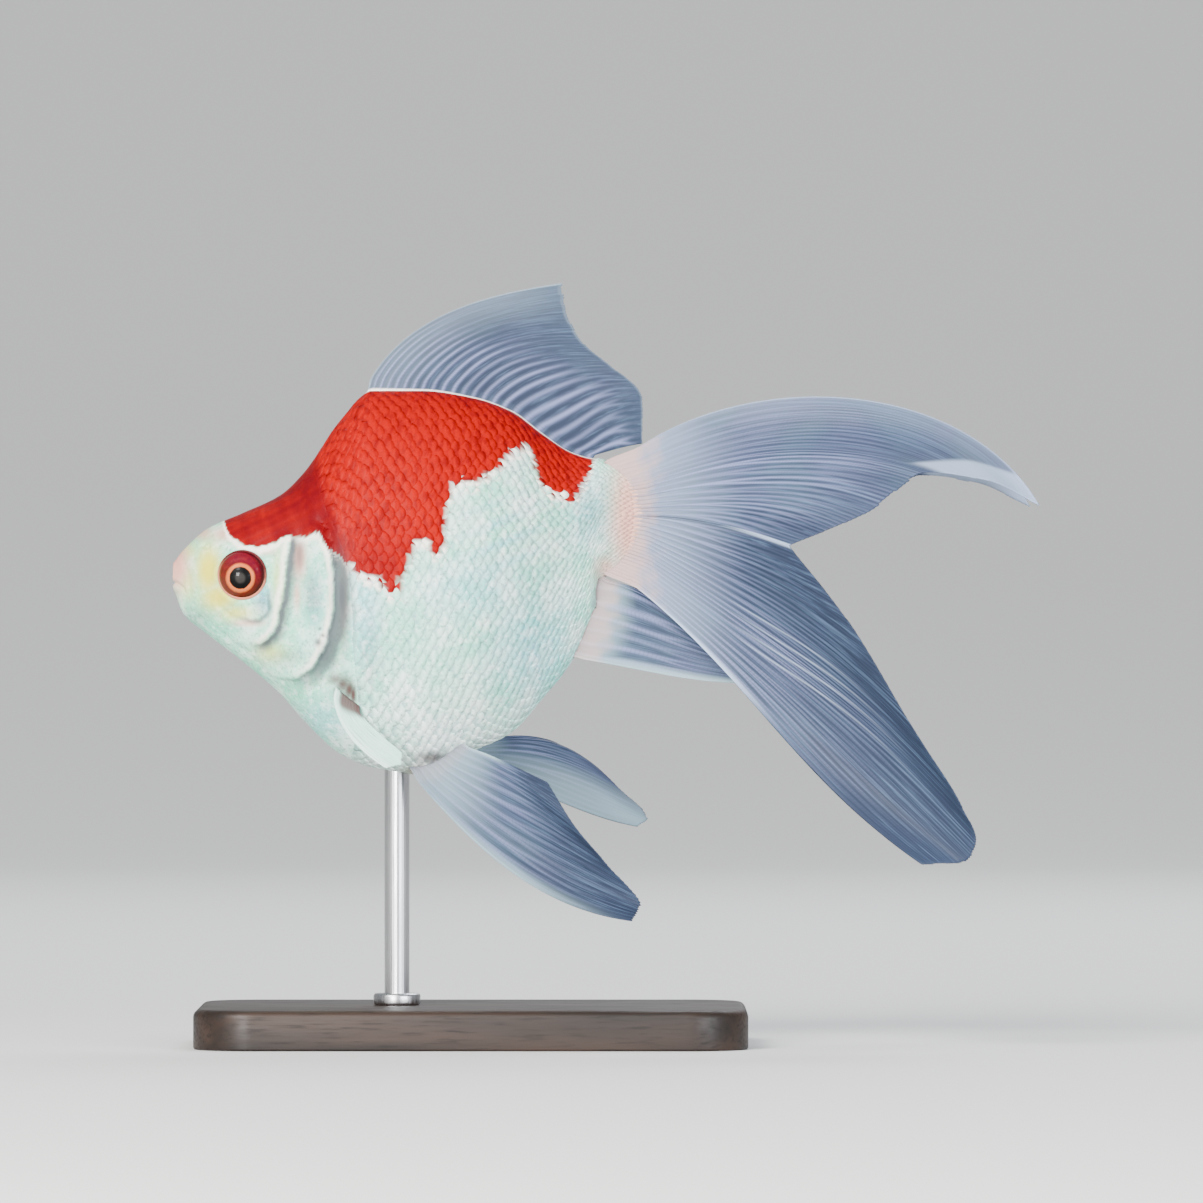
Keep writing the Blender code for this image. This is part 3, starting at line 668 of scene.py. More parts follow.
def scaly_skin_material(name, settings, bump):
    """Living fish skin and scale: a film of slime over bony plates backed by guanine, a pearly pigment.

    The film gives only a faint, broad gloss, and the guanine a soft white with cold and warm flecks in it,
    the brightest of them painted glints.
    """
    made, tree, shader = material(
        name, IOR=1.38, Specular_IOR_Level=0.08, Coat_Weight=0.03, Coat_Roughness=0.2, Coat_IOR=1.36
    )
    first = node(tree, "ShaderNodeAttribute", attribute_name="markings")
    second = node(tree, "ShaderNodeAttribute", attribute_name="tints")
    third = node(tree, "ShaderNodeAttribute", attribute_name="lie")
    marks = node(tree, "ShaderNodeSeparateColor", {0: first.outputs["Color"]}).outputs
    tints = node(tree, "ShaderNodeSeparateColor", {0: second.outputs["Color"]}).outputs
    lie = node(tree, "ShaderNodeSeparateColor", {0: third.outputs["Color"]}).outputs
    place = node(tree, "ShaderNodeTexCoord").outputs["Object"]
    # Flecks of guanine about 0.7 mm across, the bloom over them, wider clouds, and a fine relief
    flecks, bloom, clouds, grit = [
        node(tree, "ShaderNodeTexNoise", {"Vector": place, "Scale": 1 / size, "Detail": detail}).outputs[0]
        for size, detail in ((0.0007, 2.0), (0.0024, 3.0), (0.006, 3.0), (0.0004, 2.0))
    ]
    white = layered(tree, settings.white, (
        (tints[1], (), settings.mint),
        (tints[2], (), settings.blue),
        (clouds, (0.52, 0.72, 0.5), settings.warm),
        (bloom, (0.5, 0.68, 0.5), linear("#92CCBA")),  # dull
        (bloom, (0.46, 0.34, 0.4), linear("#F6FFFA")),  # pearly
        (flecks, (0.56, 0.68, 0.7), linear("#74A498")),
        (lie[0], (0.78, 0.5, 0.65), linear("#78A09C")),  # painted shade where one scale runs under another
        # Painted glints: the brightest guanine flecks, lightened as if they caught the light
        (flecks, (0.42, 0.3, 0.35), linear("#F8FFFC")),
        (tints[0], (), settings.yellow),
        (first.outputs["Alpha"], (), settings.pink),
        (marks[2], (), settings.cream),
    ))
    # Darker flecks in the red stand in upright rows
    upright = node(tree, "ShaderNodeMapping", {"Vector": place, "Scale": (1.0, 0.5, 0.45)}).outputs[0]
    streaky = {"Vector": upright, "Scale": 1 / 0.0011, "Detail": 2.0}
    dashes = node(tree, "ShaderNodeTexNoise", streaky).outputs[0]
    red = layered(tree, settings.red, (
        (marks[1], (), settings.crimson),
        # Painted shade on each red scale where it runs out from under the one before
        (lie[0], (0.75, 0.45, 0.2), linear("#6A0408")),
        (dashes, (0.47, 0.64, 0.65), linear("#6E0408")),
    ))
    base = layered(tree, white, (
        (marks[0], (), red),
        (second.outputs["Alpha"], (), settings.grey),
        (lie[2], (), settings.rust),
    ))
    tree.links.new(base, shader.inputs["Base Color"])

    gloss = node(tree, "ShaderNodeMapRange", {0: flecks, 1: 0.3, 2: 0.7, 3: 0.44, 4: 0.62}).outputs[0]
    tree.links.new(gloss, shader.inputs["Roughness"])
    relief = node(tree, "ShaderNodeBump", {"Strength": bump, "Distance": 0.00012, "Height": grit})
    tree.links.new(relief.outputs[0], shader.inputs["Normal"])
    return made


class GOLDFISH_OT_skin(bpy.types.Operator):
    """Makes one skin over the head, the jaws, the gill covers, the trunk and the stalk of the tail"""

    bl_idname = "goldfish.skin"
    bl_label = "Skin"

    def execute(self, context):
        settings = context.scene.goldfish_skin
        bm = bmesh.new()
        bmesh.ops.create_uvsphere(bm, u_segments=SKIN_SIDES, v_segments=SKIN_RINGS, radius=1.0)
        flat = bm.loops.layers.uv.new("OFBake")
        ring = {v: round(math.acos(max(-1, min(1, v.co.z))) / math.pi * SKIN_RINGS) for v in bm.verts}
        turn = {v: math.atan2(v.co.y, v.co.x) for v in bm.verts}
        for face in bm.faces:
            ordinary = [v for v in face.verts if 0 < ring[v] < SKIN_RINGS]
            middle = math.atan2(sum(v.co.y for v in ordinary), sum(v.co.x for v in ordinary))
            for loop in face.loops:
                own = turn[loop.vert] if loop.vert in ordinary else middle
                u, v = unwrapped(ring[loop.vert], own)
                # A face over the slit keeps its corners together, a little past the pattern's edge
                if abs(u - unwrapped(0, middle)[0]) > 0.5:
                    u += 0.98 if u < 0.5 else -0.98
                loop[flat].uv = (u, v)
        rings = np.array([ring[v] for v in bm.verts])
        angles = np.array([turn[v] for v in bm.verts])
        mesh = mesh_of("skin", bm)
        x = RING_X[rings]
        places = body_place(x, angles, RING_SHRINK[rings])
        across, up = places[:, 1], places[:, 2]
        normals = body_normal(np.clip(x, 0.1, BODY_LENGTH - 0.1), angles)
        snout = np.clip(1 - x / 1.6, 0, 1)[:, None] ** 2 * (rings < SKIN_RINGS / 2)[:, None]
        normals = normals * (1 - snout) + np.array((-1.0, 0.0, 0.0)) * snout
        coat = settings.coat_depth / MM
        # Under the dorsal fin the skin is bare and stands as a low ridge
        ridge = ramp(np.abs(across), 1.9, 1.2) * (up > BACK_LEVEL)
        ridge = ridge * ramp(x, 38.0, 39.0) * ramp(x, 85.0, 84.0)
        depth = INSET + (coat - INSET) * on_scales(places[:, 0], up) * (1 - ridge) + 0.2 * ramp(x, 2.0, 0.0)
        head = places[:, 0] < HEAD_END + 1
        relief = np.zeros(len(x))
        relief[head] = head_relief(*places[head].T) + socket_relief(*places[head].T)
        places = places + normals * (relief - depth)[:, None]
        first, second, rust = markings(*places.T)
        set_attribute(mesh, "markings", first)
        set_attribute(mesh, "tints", second)
        lie = np.stack([np.full(len(x), 0.8), np.full(len(x), 0.5), rust, np.ones(len(x))], axis=-1)
        set_attribute(mesh, "lie", lie)
        set_coordinates(mesh, to_packed(places))
        shade = scaly_skin_material("wet_goldfish_skin", settings, 0.35)
        covered = ("head", "trunk", "tail_stalk", "upper_jaw", "lower_jaw")
        covered += ("gill_cover_left", "gill_cover_right")
        piece("skin", mesh, shade, covered)
        return {"FINISHED"}


# ------------------------------------------------------------------------------
# The scales
# ------------------------------------------------------------------------------
GIRTH_SAMPLES = 361
SCALE_RISE = 0.2  # from the root of a scale to its tip
SCALE_START = 24.0  # the station of the first column of scales, under the gill covers
SCALE_REACH = 3.4  # the length of a scale, in columns
SCALE_BARE = 0.75  # the middle of the part that other scales leave bare, as a share of a scale's length
SCALE_PATCH = 0.0028  # the length and width of a scale on the flat pattern
TAIL_REACH = 3.2  # how far the scales run on over the root of the tail


def girth_table():
    """For stations along the body, the angle at each share of the girth, from the back by the left."""
    stations = np.linspace(0.2, BODY_LENGTH - 0.05, 240)
    turns = np.linspace(math.pi / 2, -1.5 * math.pi, 1441)
    shares = np.linspace(0, 1, GIRTH_SAMPLES)
    table = []
    for station in stations:
        ring = body_place(np.full(len(turns), station), turns)[:, 1:]
        run = np.concatenate(([0], np.cumsum(np.linalg.norm(np.diff(ring, axis=0), axis=1))))
        table.append(np.interp(shares, run / run[-1], turns))
    return stations, np.array(table)


def angle_at(table, x, share):
    """The angle round the section at a station and a share of its girth."""
    stations, turns = table
    row = np.interp(x, stations, np.arange(len(stations)))
    wraps = np.floor(share)
    column = (share - wraps) * (GIRTH_SAMPLES - 1)
    low_row = np.minimum(row.astype(int), len(stations) - 2)
    low_column = np.minimum(column.astype(int), GIRTH_SAMPLES - 2)
    a, b = row - low_row, column - low_column
    value = (1 - a) * ((1 - b) * turns[low_row, low_column] + b * turns[low_row, low_column + 1])
    value += a * ((1 - b) * turns[low_row + 1, low_column] + b * turns[low_row + 1, low_column + 1])
    return value - 2 * math.pi * wraps


def one_scale():
    """A flat scale, 1 long and 2 wide, with a round rear edge, its upper side at z = 1, its lower at 0."""
    bm = bmesh.new()
    bmesh.ops.create_grid(bm, x_segments=3, y_segments=5, size=1.0)
    top = list(bm.verts)
    bmesh.ops.extrude_face_region(bm, geom=bm.faces[:])
    for vertex in bm.verts:
        vertex.co.z = 1.0
    for vertex in top:
        vertex.co.z = 0.0
    for vertex in bm.verts:
        along, across = (vertex.co.x + 1) / 2, vertex.co.y
        vertex.co.x = along * (1 - 0.34 * abs(across) ** 2.4)
        vertex.co.y = across * (0.84 + 0.16 * math.sin(math.pi * min(1.0, along * 1.1)))
    bmesh.ops.recalc_face_normals(bm, faces=bm.faces)
    flat = bm.loops.layers.uv.new("OFBake")
    for face in bm.faces:
        for loop in face.loops:
            loop[flat].uv = (loop.vert.co.y * SCALE_PATCH / 2, (loop.vert.co.x - 0.5) * SCALE_PATCH)
    return mesh_of("one scale", bm)


def scale_places(settings, side):
    """The root of every scale on one side: its station, its share of the girth and its column."""
    found = []
    x, column = SCALE_START, 0
    while x < BODY_LENGTH + TAIL_REACH:
        rows = settings.rows
        for row in range(rows // 2 + 1):
            share = (row + 0.5 * (column % 2)) / rows
            if share > 0.5001:
                continue
            middle = share in (0.0, 0.5) or abs(share - 0.5) < 1e-6
            if side < 0 or not middle:
                found.append((x, share if side < 0 else 1 - share, column))
        deep = float(ramp(x, 62.0, 88.0))
        x += settings.pitch / MM * (1 - deep) + settings.tail_pitch / MM * deep
        column += 1
    return np.array(found)


def kept_roots(settings, side, table):
    """The roots of the scales laid on one side, the length of each, and the station of its bare part.

    A scale is laid where the middle of its bare part is on the scaled part of the body: not beside the
    dorsal fin's root, in the pocket of the pectoral fin, or past the flesh of the tail's root.
    """
    roots = scale_places(settings, side)
    tail_share = ramp(roots[:, 0], 62, 88)
    reach = SCALE_REACH * (settings.pitch + (settings.tail_pitch - settings.pitch) * tail_share) / MM
    bare_x = roots[:, 0] + SCALE_BARE * reach
    x, y, z = body_place(bare_x, angle_at(table, bare_x, roots[:, 1])).T
    keep = on_scales(x, z) > 0.5
    keep &= ~((np.abs(y) < 1.7) & (z > BACK_LEVEL) & (bare_x > 37) & (bare_x < 85.4))
    keep &= np.hypot((x - FIN_POCKET[0]) / 2.4, (z - FIN_POCKET[1]) / 3.2) > 1
    keep &= bare_x < BODY_LENGTH + TAIL_REACH - 0.4
    keep &= (bare_x < BODY_LENGTH - 0.4) | ((np.abs(z - 12.4) < 9.0) & (np.abs(y) > 1.4))
    return roots[keep], reach[keep], bare_x[keep]


def lay_scales(name, side, shade, settings, skin, table):
    """The scales of one side, joined in one mesh and bent over the body, each over the root of the next."""
    roots, reach, bare_x = kept_roots(settings, side, table)
    count = len(roots)
    template = one_scale()
    size = len(template.vertices)
    array = {"count": count, "use_relative_offset": False, "use_constant_offset": True}
    array["constant_offset_displace"] = (2.0, 0.0, 0.0)
    mesh = applied(template, "ARRAY", array)
    local = coordinates(mesh).reshape(count, size, 3)
    local[..., 0] -= 2.0 * np.arange(count)[:, None]
    along, across, top = local[..., 0], local[..., 1], local[..., 2]
    rng = np.random.default_rng(7 if side < 0 else 11)
    tilt, slip, own = rng.normal(0, 0.035, count), rng.normal(0, 0.05, count), rng.random(count)

    # Where every place of every scale is on the body, and how far out
    x = roots[:, 0, None] + (along + slip[:, None]) * reach[:, None]
    x = np.where(bare_x[:, None] < BODY_LENGTH - 0.4, np.minimum(x, BODY_LENGTH - 0.05), x)
    share = roots[:, 1, None] + side * -0.62 * across / settings.rows
    angle = angle_at(table, x, share)
    surface, normal = body_place(x, angle), body_normal(x, angle)
    red = markings(*surface.reshape(-1, 3).T)[0][:, 0].reshape(x.shape)
    depth = skin.coat_depth / MM
    # Scales lie flatter and thinner in the red cap, and flatter on the warm white of the low belly
    thick = settings.thickness / MM * (1 - 0.5 * red)
    smooth = np.maximum(0.5 * red, 0.6 * patches(WARM_PATCHES, surface[..., 0], surface[..., 2]))
    rise = SCALE_RISE * (1 - smooth)
    height = depth - INSET - rise * (1 - along) - 0.05 * across**2 + tilt[:, None] * along * across
    near_head = surface[..., 0] < HEAD_END + 1
    height[near_head] += head_relief(*surface[near_head].T)
    height = height - (1 - top) * thick * (0.4 + 0.6 * along)
    places = surface + normal * (height - depth)[..., None]
    set_coordinates(mesh, to_packed(places).reshape(-1, 3))

    # Each scale shifts the edge of the red cap its own way, and every second column shifts it the other way
    jitter = rng.normal(0, 0.35, count) + 0.45 * np.where(roots[:, 2] % 2 > 0, 1, -1)
    jitter = np.repeat(jitter, size) * ramp(x.ravel(), 27, 33)
    first, second, rust = markings(*places.reshape(-1, 3).T, jitter=jitter)
    set_attribute(mesh, "markings", first)
    set_attribute(mesh, "tints", second)
    # Of these the material reads the first and the third: the others tell scales and their halves apart
    on_scale = [along.ravel(), across.ravel() * 0.5 + 0.5, rust, np.repeat(own, size)]
    set_attribute(mesh, "lie", np.stack(on_scale, axis=-1))

    # Each scale is a small patch of the flat pattern, at its root's place on the skin's own pattern
    stations, rings = RING_X[SNOUT_RINGS:-END_RINGS], np.arange(SNOUT_RINGS, SKIN_RINGS - END_RINGS + 1)
    u, v = unwrapped(np.interp(roots[:, 0], stations, rings), angle_at(table, roots[:, 0], roots[:, 1]))
    flat = mesh.uv_layers["OFBake"]
    corner = np.empty(len(flat.data) * 2, np.float32)
    flat.data.foreach_get("uv", corner)
    corner = corner.reshape(count, -1, 2) + np.stack([u, v], axis=-1)[:, None, :]
    flat.data.foreach_set("uv", np.ascontiguousarray(corner, np.float32).ravel())
    mesh.name = name
    piece(name, mesh, shade)


class GOLDFISH_OT_scales(bpy.types.Operator):
    """Lays rows of overlapping scales over the trunk and the stalk of the tail"""

    bl_idname = "goldfish.scales"
    bl_label = "Scales"

    def execute(self, context):
        settings, skin = context.scene.goldfish_scales, context.scene.goldfish_skin
        table = girth_table()
        shade = scaly_skin_material("guanine_backed_scales", skin, 0.2)
        for name, side in (("scales_left", -1), ("scales_right", 1)):
            lay_scales(name, side, shade, settings, skin, table)
        return {"FINISHED"}


# ------------------------------------------------------------------------------
# The fins
# ------------------------------------------------------------------------------
# A row of `rays` is one ray: where its tip is (x, y outwards, z), and its slope where it leaves the body and
# where it ends, in degrees up from straight back. The root is two places on the body, each a station and an
# angle, and stand_off is how far the fin's solid stands off the body there.
SWING = 1.25  # above 1, a ray turns outwards more towards its tip
DORSAL_FIN = {
    "root": ((38.6, 90.0), (84.0, 90.0)),
    "stand_off": 0.0,
    "rays": (
        (78.2, 0.0, 59.4, 65.0, 8.0),
        (79.2, 0.4, 53.6, 62.0, 6.0),
        (82.6, 0.8, 47.2, 54.0, -4.0),
        (88.2, 1.0, 42.6, 42.0, -6.0),
        (94.2, 0.8, 36.4, 30.0, -4.0),
        (94.2, 0.0, 27.3, 16.0, 8.0),
    ),
}
TAIL_ROOT_Y = 1.6
UPPER_LOBE = (
    (172.6, 24.0, 14.6, 39.5, -61.0),
    (162.4, 28.0, 19.4, 28.0, -42.0),
    (151.0, 28.0, 21.2, 20.0, -20.0),
    (138.5, 25.0, 13.2, 9.0, -22.0),
    (123.2, 20.0, 6.8, 0.0, -20.0),
)
LOWER_LOBE = (
    (123.2, 20.0, 6.8, 0.0, -20.0),
    (135.0, 27.0, -8.5, -15.0, -34.0),
    (147.5, 32.0, -29.5, -26.0, -48.0),
    (156.6, 34.0, -44.0, -32.0, -50.0),
    (160.0, 34.0, -51.6, -33.5, -48.0),
    (156.6, 33.2, -56.2, -35.0, -42.0),
    (149.4, 31.8, -56.4, -36.0, -34.0),
)
ANAL_FIN = {
    "root": ((80.4, -82.0), (88.4, -80.0)),
    "stand_off": 0.2,
    "rays": (
        (113.0, 3.6, -20.6, -8.0, -2.0),
        (113.6, 3.6, -17.8, -8.0, -14.0),
        (110.6, 3.0, -14.2, -6.0, -26.0),
        (106.0, 2.4, -9.4, -8.0, -34.0),
    ),
}
PELVIC_FIN_LEFT = {
    "root": ((47.6, -74.0), (58.5, -68.0)),
    "stand_off": 0.3,
    "rays": (
        (92.6, 18.0, -67.8, -50.0, -6.0),
        (94.0, 20.0, -64.6, -42.0, -24.0),
        (87.6, 20.0, -57.0, -30.0, -34.0),
        (81.0, 19.0, -49.4, -22.0, -42.0),
        (75.2, 16.0, -40.2, -16.0, -24.0),
    ),
}
PELVIC_FIN_RIGHT = {
    "root": ((53.0, -72.0), (60.5, -68.0)),
    "stand_off": 0.3,
    "rays": (
        (93.4, 15.0, -49.6, -4.0, -10.0),
        (95.4, 17.0, -47.8, 4.0, -26.0),
        (90.2, 18.0, -42.6, 8.0, -36.0),
        (83.6, 17.0, -36.6, 12.0, -36.0),
        (77.0, 15.0, -32.8, 12.0, -22.0),
    ),
}
PECTORAL_FIN_LEFT = {
    "root": ((33.0, -34.0), (37.6, -40.0)),
    "stand_off": 0.6,
    "rays": (
        (43.6, 17.6, -37.6, -92.0, -30.0),
        (46.4, 18.4, -36.6, -82.0, -30.0),
        (46.4, 18.4, -34.8, -70.0, -34.0),
        (44.6, 18.0, -33.0, -58.0, -44.0),
    ),
}
PECTORAL_FIN_RIGHT = {
    "root": ((33.0, -34.0), (37.6, -40.0)),
    "stand_off": 0.6,
    "rays": (
        (45.0, 27.0, -36.0, -80.0, -30.0),
        (48.6, 27.0, -34.6, -68.0, -30.0),
        (49.0, 26.0, -32.0, -56.0, -34.0),
        (46.8, 24.0, -29.6, -44.0, -40.0),
    ),
}
RAY_JOINT = 0.8  # from one joint of a ray to the next
ROOT_SUNK = 0.9  # how far a fin's root goes into the flesh, so that no seam shows


def root_on_body(shape, across):
    """Places along the root of a fin that stands on the body, and the way out there."""
    (x_front, angle_front), (x_rear, angle_rear) = shape["root"]
    x = x_front + (x_rear - x_front) * across
    angle = np.radians(angle_front + (angle_rear - angle_front) * across)
    place = body_place(x, angle) + body_normal(x, angle) * (GAP + shape["stand_off"])
    return place[:, 0], -place[:, 1], place[:, 2], body_normal(x, angle) * (1, -1, 1)


def root_on_tail(top, foot, across):
    """Places along the root of a tail lobe, and the way out there."""
    z = top + (foot - top) * across
    x = BODY_LENGTH - tail_bow(z) + GAP
    return x, np.full(len(x), TAIL_ROOT_Y), z, np.tile((1.0, 0.0, 0.0), (len(x), 1))


def fin_places(root, rays, side, along, across, swell):
    """Places on a fin's middle surface, on the same curves as its solid."""
    tip_x, tip_y, tip_z, leave, arrive = [
        curve(across) for curve in columns(rays, [i / (len(rays) - 1) for i in range(len(rays))])
    ]
    leave, arrive = np.radians(leave), np.radians(arrive)
    root_x, root_y, root_z, _ = root
    pull = 0.36 * np.hypot(tip_x - root_x, tip_z - root_z)
    weights = ((1 - along) ** 3, 3 * along * (1 - along) ** 2, 3 * along**2 * (1 - along), along**3)
    x = weights[0] * root_x + weights[1] * (root_x + pull * np.cos(leave))
    x += weights[2] * (tip_x - pull * np.cos(arrive)) + weights[3] * tip_x
    z = weights[0] * root_z + weights[1] * (root_z + pull * np.sin(leave))
    z += weights[2] * (tip_z - pull * np.sin(arrive)) + weights[3] * tip_z
    y = root_y + (tip_y - root_y) * np.clip(along, 0, 1) ** SWING
    y += swell * along * np.sin(2 * math.pi * (1.6 * across + 0.5 * along))
    return np.stack([x, side * y, z], axis=-1)


def ray_ridges(along, across, count, splits, crowd=1.0, seed=0.0):
    """1 on a fin ray and 0 between rays. Each ray parts in two at each of the splits, as soft rays do."""
    place = count * across**crowd + 0.10 * np.sin(7.0 * along + 11.0 * across + seed)
    off = place - np.floor(place) - 0.5
    spread = [0.25 * ramp(along, split, split + 0.35) / 2**i for i, split in enumerate(splits)]
    narrow = 0.19 * np.ones_like(along)
    for i, share in enumerate(spread):
        narrow *= 1 - 0.42 * share / (0.25 / 2**i)
    ridge = np.zeros_like(along)
    for code in range(2 ** len(splits)):  # one line for every branch of the ray
        shift = sum(share * (1 if code >> i & 1 else -1) for i, share in enumerate(spread))
        ridge = np.maximum(ridge, hill(off, shift, narrow))
    return ridge, np.floor(place)


def fin_material(name, settings, fibre=0.6, **changes):
    """The living membrane of a fin: a thin wet skin over jointed bony rays.

    The skin is slate blue and a little cloudy, the rays show through it as paler lilac lines, and the wet
    surface gives a soft gloss that runs along the rays. Changes are tints of this fin's own.
    """
    made, tree, shader = material(
        name, IOR=1.38, Specular_IOR_Level=0.12, Coat_Weight=0.04, Coat_Roughness=0.25, Coat_IOR=1.36
    )
    names = ("membrane", "green", "lilac", "shade", "streak", "ray", "pale", "root")
    tones = {**{key: getattr(settings, key) for key in names}, **changes}
    first = node(tree, "ShaderNodeAttribute", attribute_name="fin")
    second = node(tree, "ShaderNodeAttribute", attribute_name="fin_place")
    shares = node(tree, "ShaderNodeSeparateColor", {0: first.outputs["Color"]}).outputs
    place = node(tree, "ShaderNodeTexCoord").outputs["Object"]
    cloudy = {"Vector": place, "Scale": 1 / 0.012, "Detail": 3.0}
    clouds = node(tree, "ShaderNodeTexNoise", cloudy).outputs[0]
    # Fibres of the membrane run along the rays: a noise drawn out along them
    spread = {0: second.outputs["Vector"], 1: (3.0, 64.0, 0.0)}
    drawn = node(tree, "ShaderNodeVectorMath", spread, operation="MULTIPLY").outputs[0]
    threads = {"Vector": drawn, "Scale": 1.0, "Detail": 4.0, "Roughness": 0.65}
    fibres = node(tree, "ShaderNodeTexNoise", threads).outputs[0]
    # The joints of a ray are pale rings with darker gaps
    turns = {0: second.outputs["Alpha"], 1: 2 * math.pi / RAY_JOINT}
    joints = node(tree, "ShaderNodeMath", turns, operation="MULTIPLY").outputs[0]
    joints = node(tree, "ShaderNodeMath", {0: joints}, operation="SINE").outputs[0]
    joint = node(tree, "ShaderNodeMapRange", {0: joints, 1: 0.4, 2: 1.0, 3: 1.0, 4: 0.75}).outputs[0]
    ray = node(tree, "ShaderNodeMath", {0: shares[0], 1: joint}, operation="MULTIPLY").outputs[0]
    base = layered(tree, tones["membrane"], (
        (clouds, (0.46, 0.62, 0.8), tones["green"]),
        (clouds, (0.54, 0.38, 0.8), tones["lilac"]),
        (shares[2], (), tones["shade"]),
        (fibres, (0.5, 0.34, fibre), tones["shade"]),
        (fibres, (0.5, 0.7, fibre), tones["streak"]),
        (ray, (), tones["ray"]),
        (shares[1], (), tones["pale"]),
        (first.outputs["Alpha"], (), tones["root"]),
    ))
    tree.links.new(base, shader.inputs["Base Color"])
    gloss = node(tree, "ShaderNodeMapRange", {0: fibres, 1: 0.3, 2: 0.7, 3: 0.4, 4: 0.56})
    tree.links.new(gloss.outputs[0], shader.inputs["Roughness"])
    relief = node(tree, "ShaderNodeBump", {"Strength": 0.4, "Distance": 0.00015, "Height": fibres})
    tree.links.new(relief.outputs[0], shader.inputs["Normal"])
    return made


def make_fin(name, nodes, shape, side, shade, settings, looks):
    """One fin: a grid drawn out along the rays, thicker on each ray, with its tips a little uneven.

    The looks give the fin's rays and splits, its grid, its seed, and functions for its tints and swell.
    The tints are shares at each place: pale, dark, pink flesh, and how strongly the rays show.
    """
    count, splits = looks["count"], looks["splits"]
    bm = bmesh.new()
    bmesh.ops.create_grid(bm, x_segments=looks["out"], y_segments=looks["around"], size=0.5)
    mesh = mesh_of(name, bm)
    grid = coordinates(mesh) + 0.5
    along, across = np.clip(grid[:, 0], 0, 1), np.clip(grid[:, 1], 0, 1)
    ridge, number = ray_ridges(along, across, count, splits, looks.get("crowd", 1.0), looks["seed"])
    notch = looks.get("notch", 0.014) * ramp(along, 0.8, 1.0)
    uneven = np.mod(np.sin((number + 1) * 12.99 + looks["seed"]) * 4375.85, 1.0)
    reach = along * (1 - notch * (0.35 * (1 - ridge) + uneven))
    if "root" in shape:
        root, rays = root_on_body(shape, across), shape["rays"]
    else:
        root, rays = root_on_tail(shape["top"], shape["foot"], across), shape["rays"]
    places = fin_places(root, rays, side, reach, across, looks["swell"](across))
    # Near the root the sheet is drawn down into the flesh
    sink = ramp(along, 0.06, 0.0)[:, None]
    places = places - root[3] * (1, side, 1) * sink * shape.get("sunk", ROOT_SUNK)
    # Small waves of the membrane between its rays and along its edge
    inside = np.minimum(1.0, 6 * np.minimum(across, 1 - across)) * ramp(along, 0.3, 1.0)
    wave = np.sin(2 * math.pi * (2.3 * across + 1.1 * along) + looks["seed"])
    places[:, 1] += 0.22 * inside * wave * looks.get("waves", 1.0)
    set_coordinates(mesh, to_packed(places))
    edge, base = settings.edge / MM, settings.base / MM
    if "top" in shape:  # a tail lobe is as thick at its root as the stalk that it grows from
        stalk = body_side(np.full(len(across), BODY_LENGTH - 0.3), root[2])
        base = np.maximum(1.0, 2 * (stalk - TAIL_ROOT_Y) - 0.7)
    sheet = edge + (base - edge) * (1 - along) ** 2.6
    hem = looks.get("front_hem", 0.25) * ramp(across, 0.02, 0.0)
    hem = hem + looks.get("rear_hem", 0.0) * ramp(across, 0.985, 1.0)
    pale, dark, pink, lines = looks["tints"](along, across, places)
    lines = lines * (0.5 + 0.5 * uneven)
    thick = sheet * (0.7 + 0.4 * ridge * lines) * (1 - 0.35 * ramp(along, 0.9, 1.0)) + hem * sheet
    most = float(thick.max())
    set_attribute(mesh, "fin", np.stack([ridge * lines, pale, dark, pink], axis=-1))
    set_attribute(mesh, "fin_place", np.stack([along, across, uneven, along * looks["length"]], axis=-1))
    thickened = applied(mesh, "SOLIDIFY", {"thickness": most * MM, "offset": 0.0}, thick / most)
    thickened.name = name
    return piece(name, thickened, shade, nodes)


def flat_swell(across):
    """No swell, for the fins that lie flat between their rays."""
    return 0.0 * across


def dorsal_tints(along, across, places):
    """The front of the dorsal fin is pale and packed, the rear is dark between its rays near the root."""
    front = 0.22 * ramp(across, 0.3, 0.02) * ramp(along, 1.2, 0.7)
    pale = np.maximum.reduce([front, 0.7 * ramp(across, 0.016, 0.003), 0.3 * ramp(along, 0.975, 1.0)])
    reach = 0.12 + 0.42 * across
    dark = 0.9 * ramp(along, 0.015, 0.06) * ramp(along, reach + 0.4, reach)
    dark = dark * (0.4 + 0.6 * ramp(across, 0.1, 0.5))
    dark = np.maximum(dark, 0.62 - 0.3 * ramp(across, 0.2, 0.0))
    lines = ramp(across, 0.0, 0.04) * (0.1 + 0.9 * ramp(along, reach + 0.4, reach))
    return pale, dark, ramp(along, 0.02, 0.012), lines


def root_flesh(x, y, z):
    """How much of the tail root's flesh shows through a tail lobe."""
    return 0.75 * ramp(x + 1.6 * ripple(x, y, z, 5.0, 3.0) + 0.8 * ripple(x, y, z, 2.0, 1.0), 99.0, 91.0)


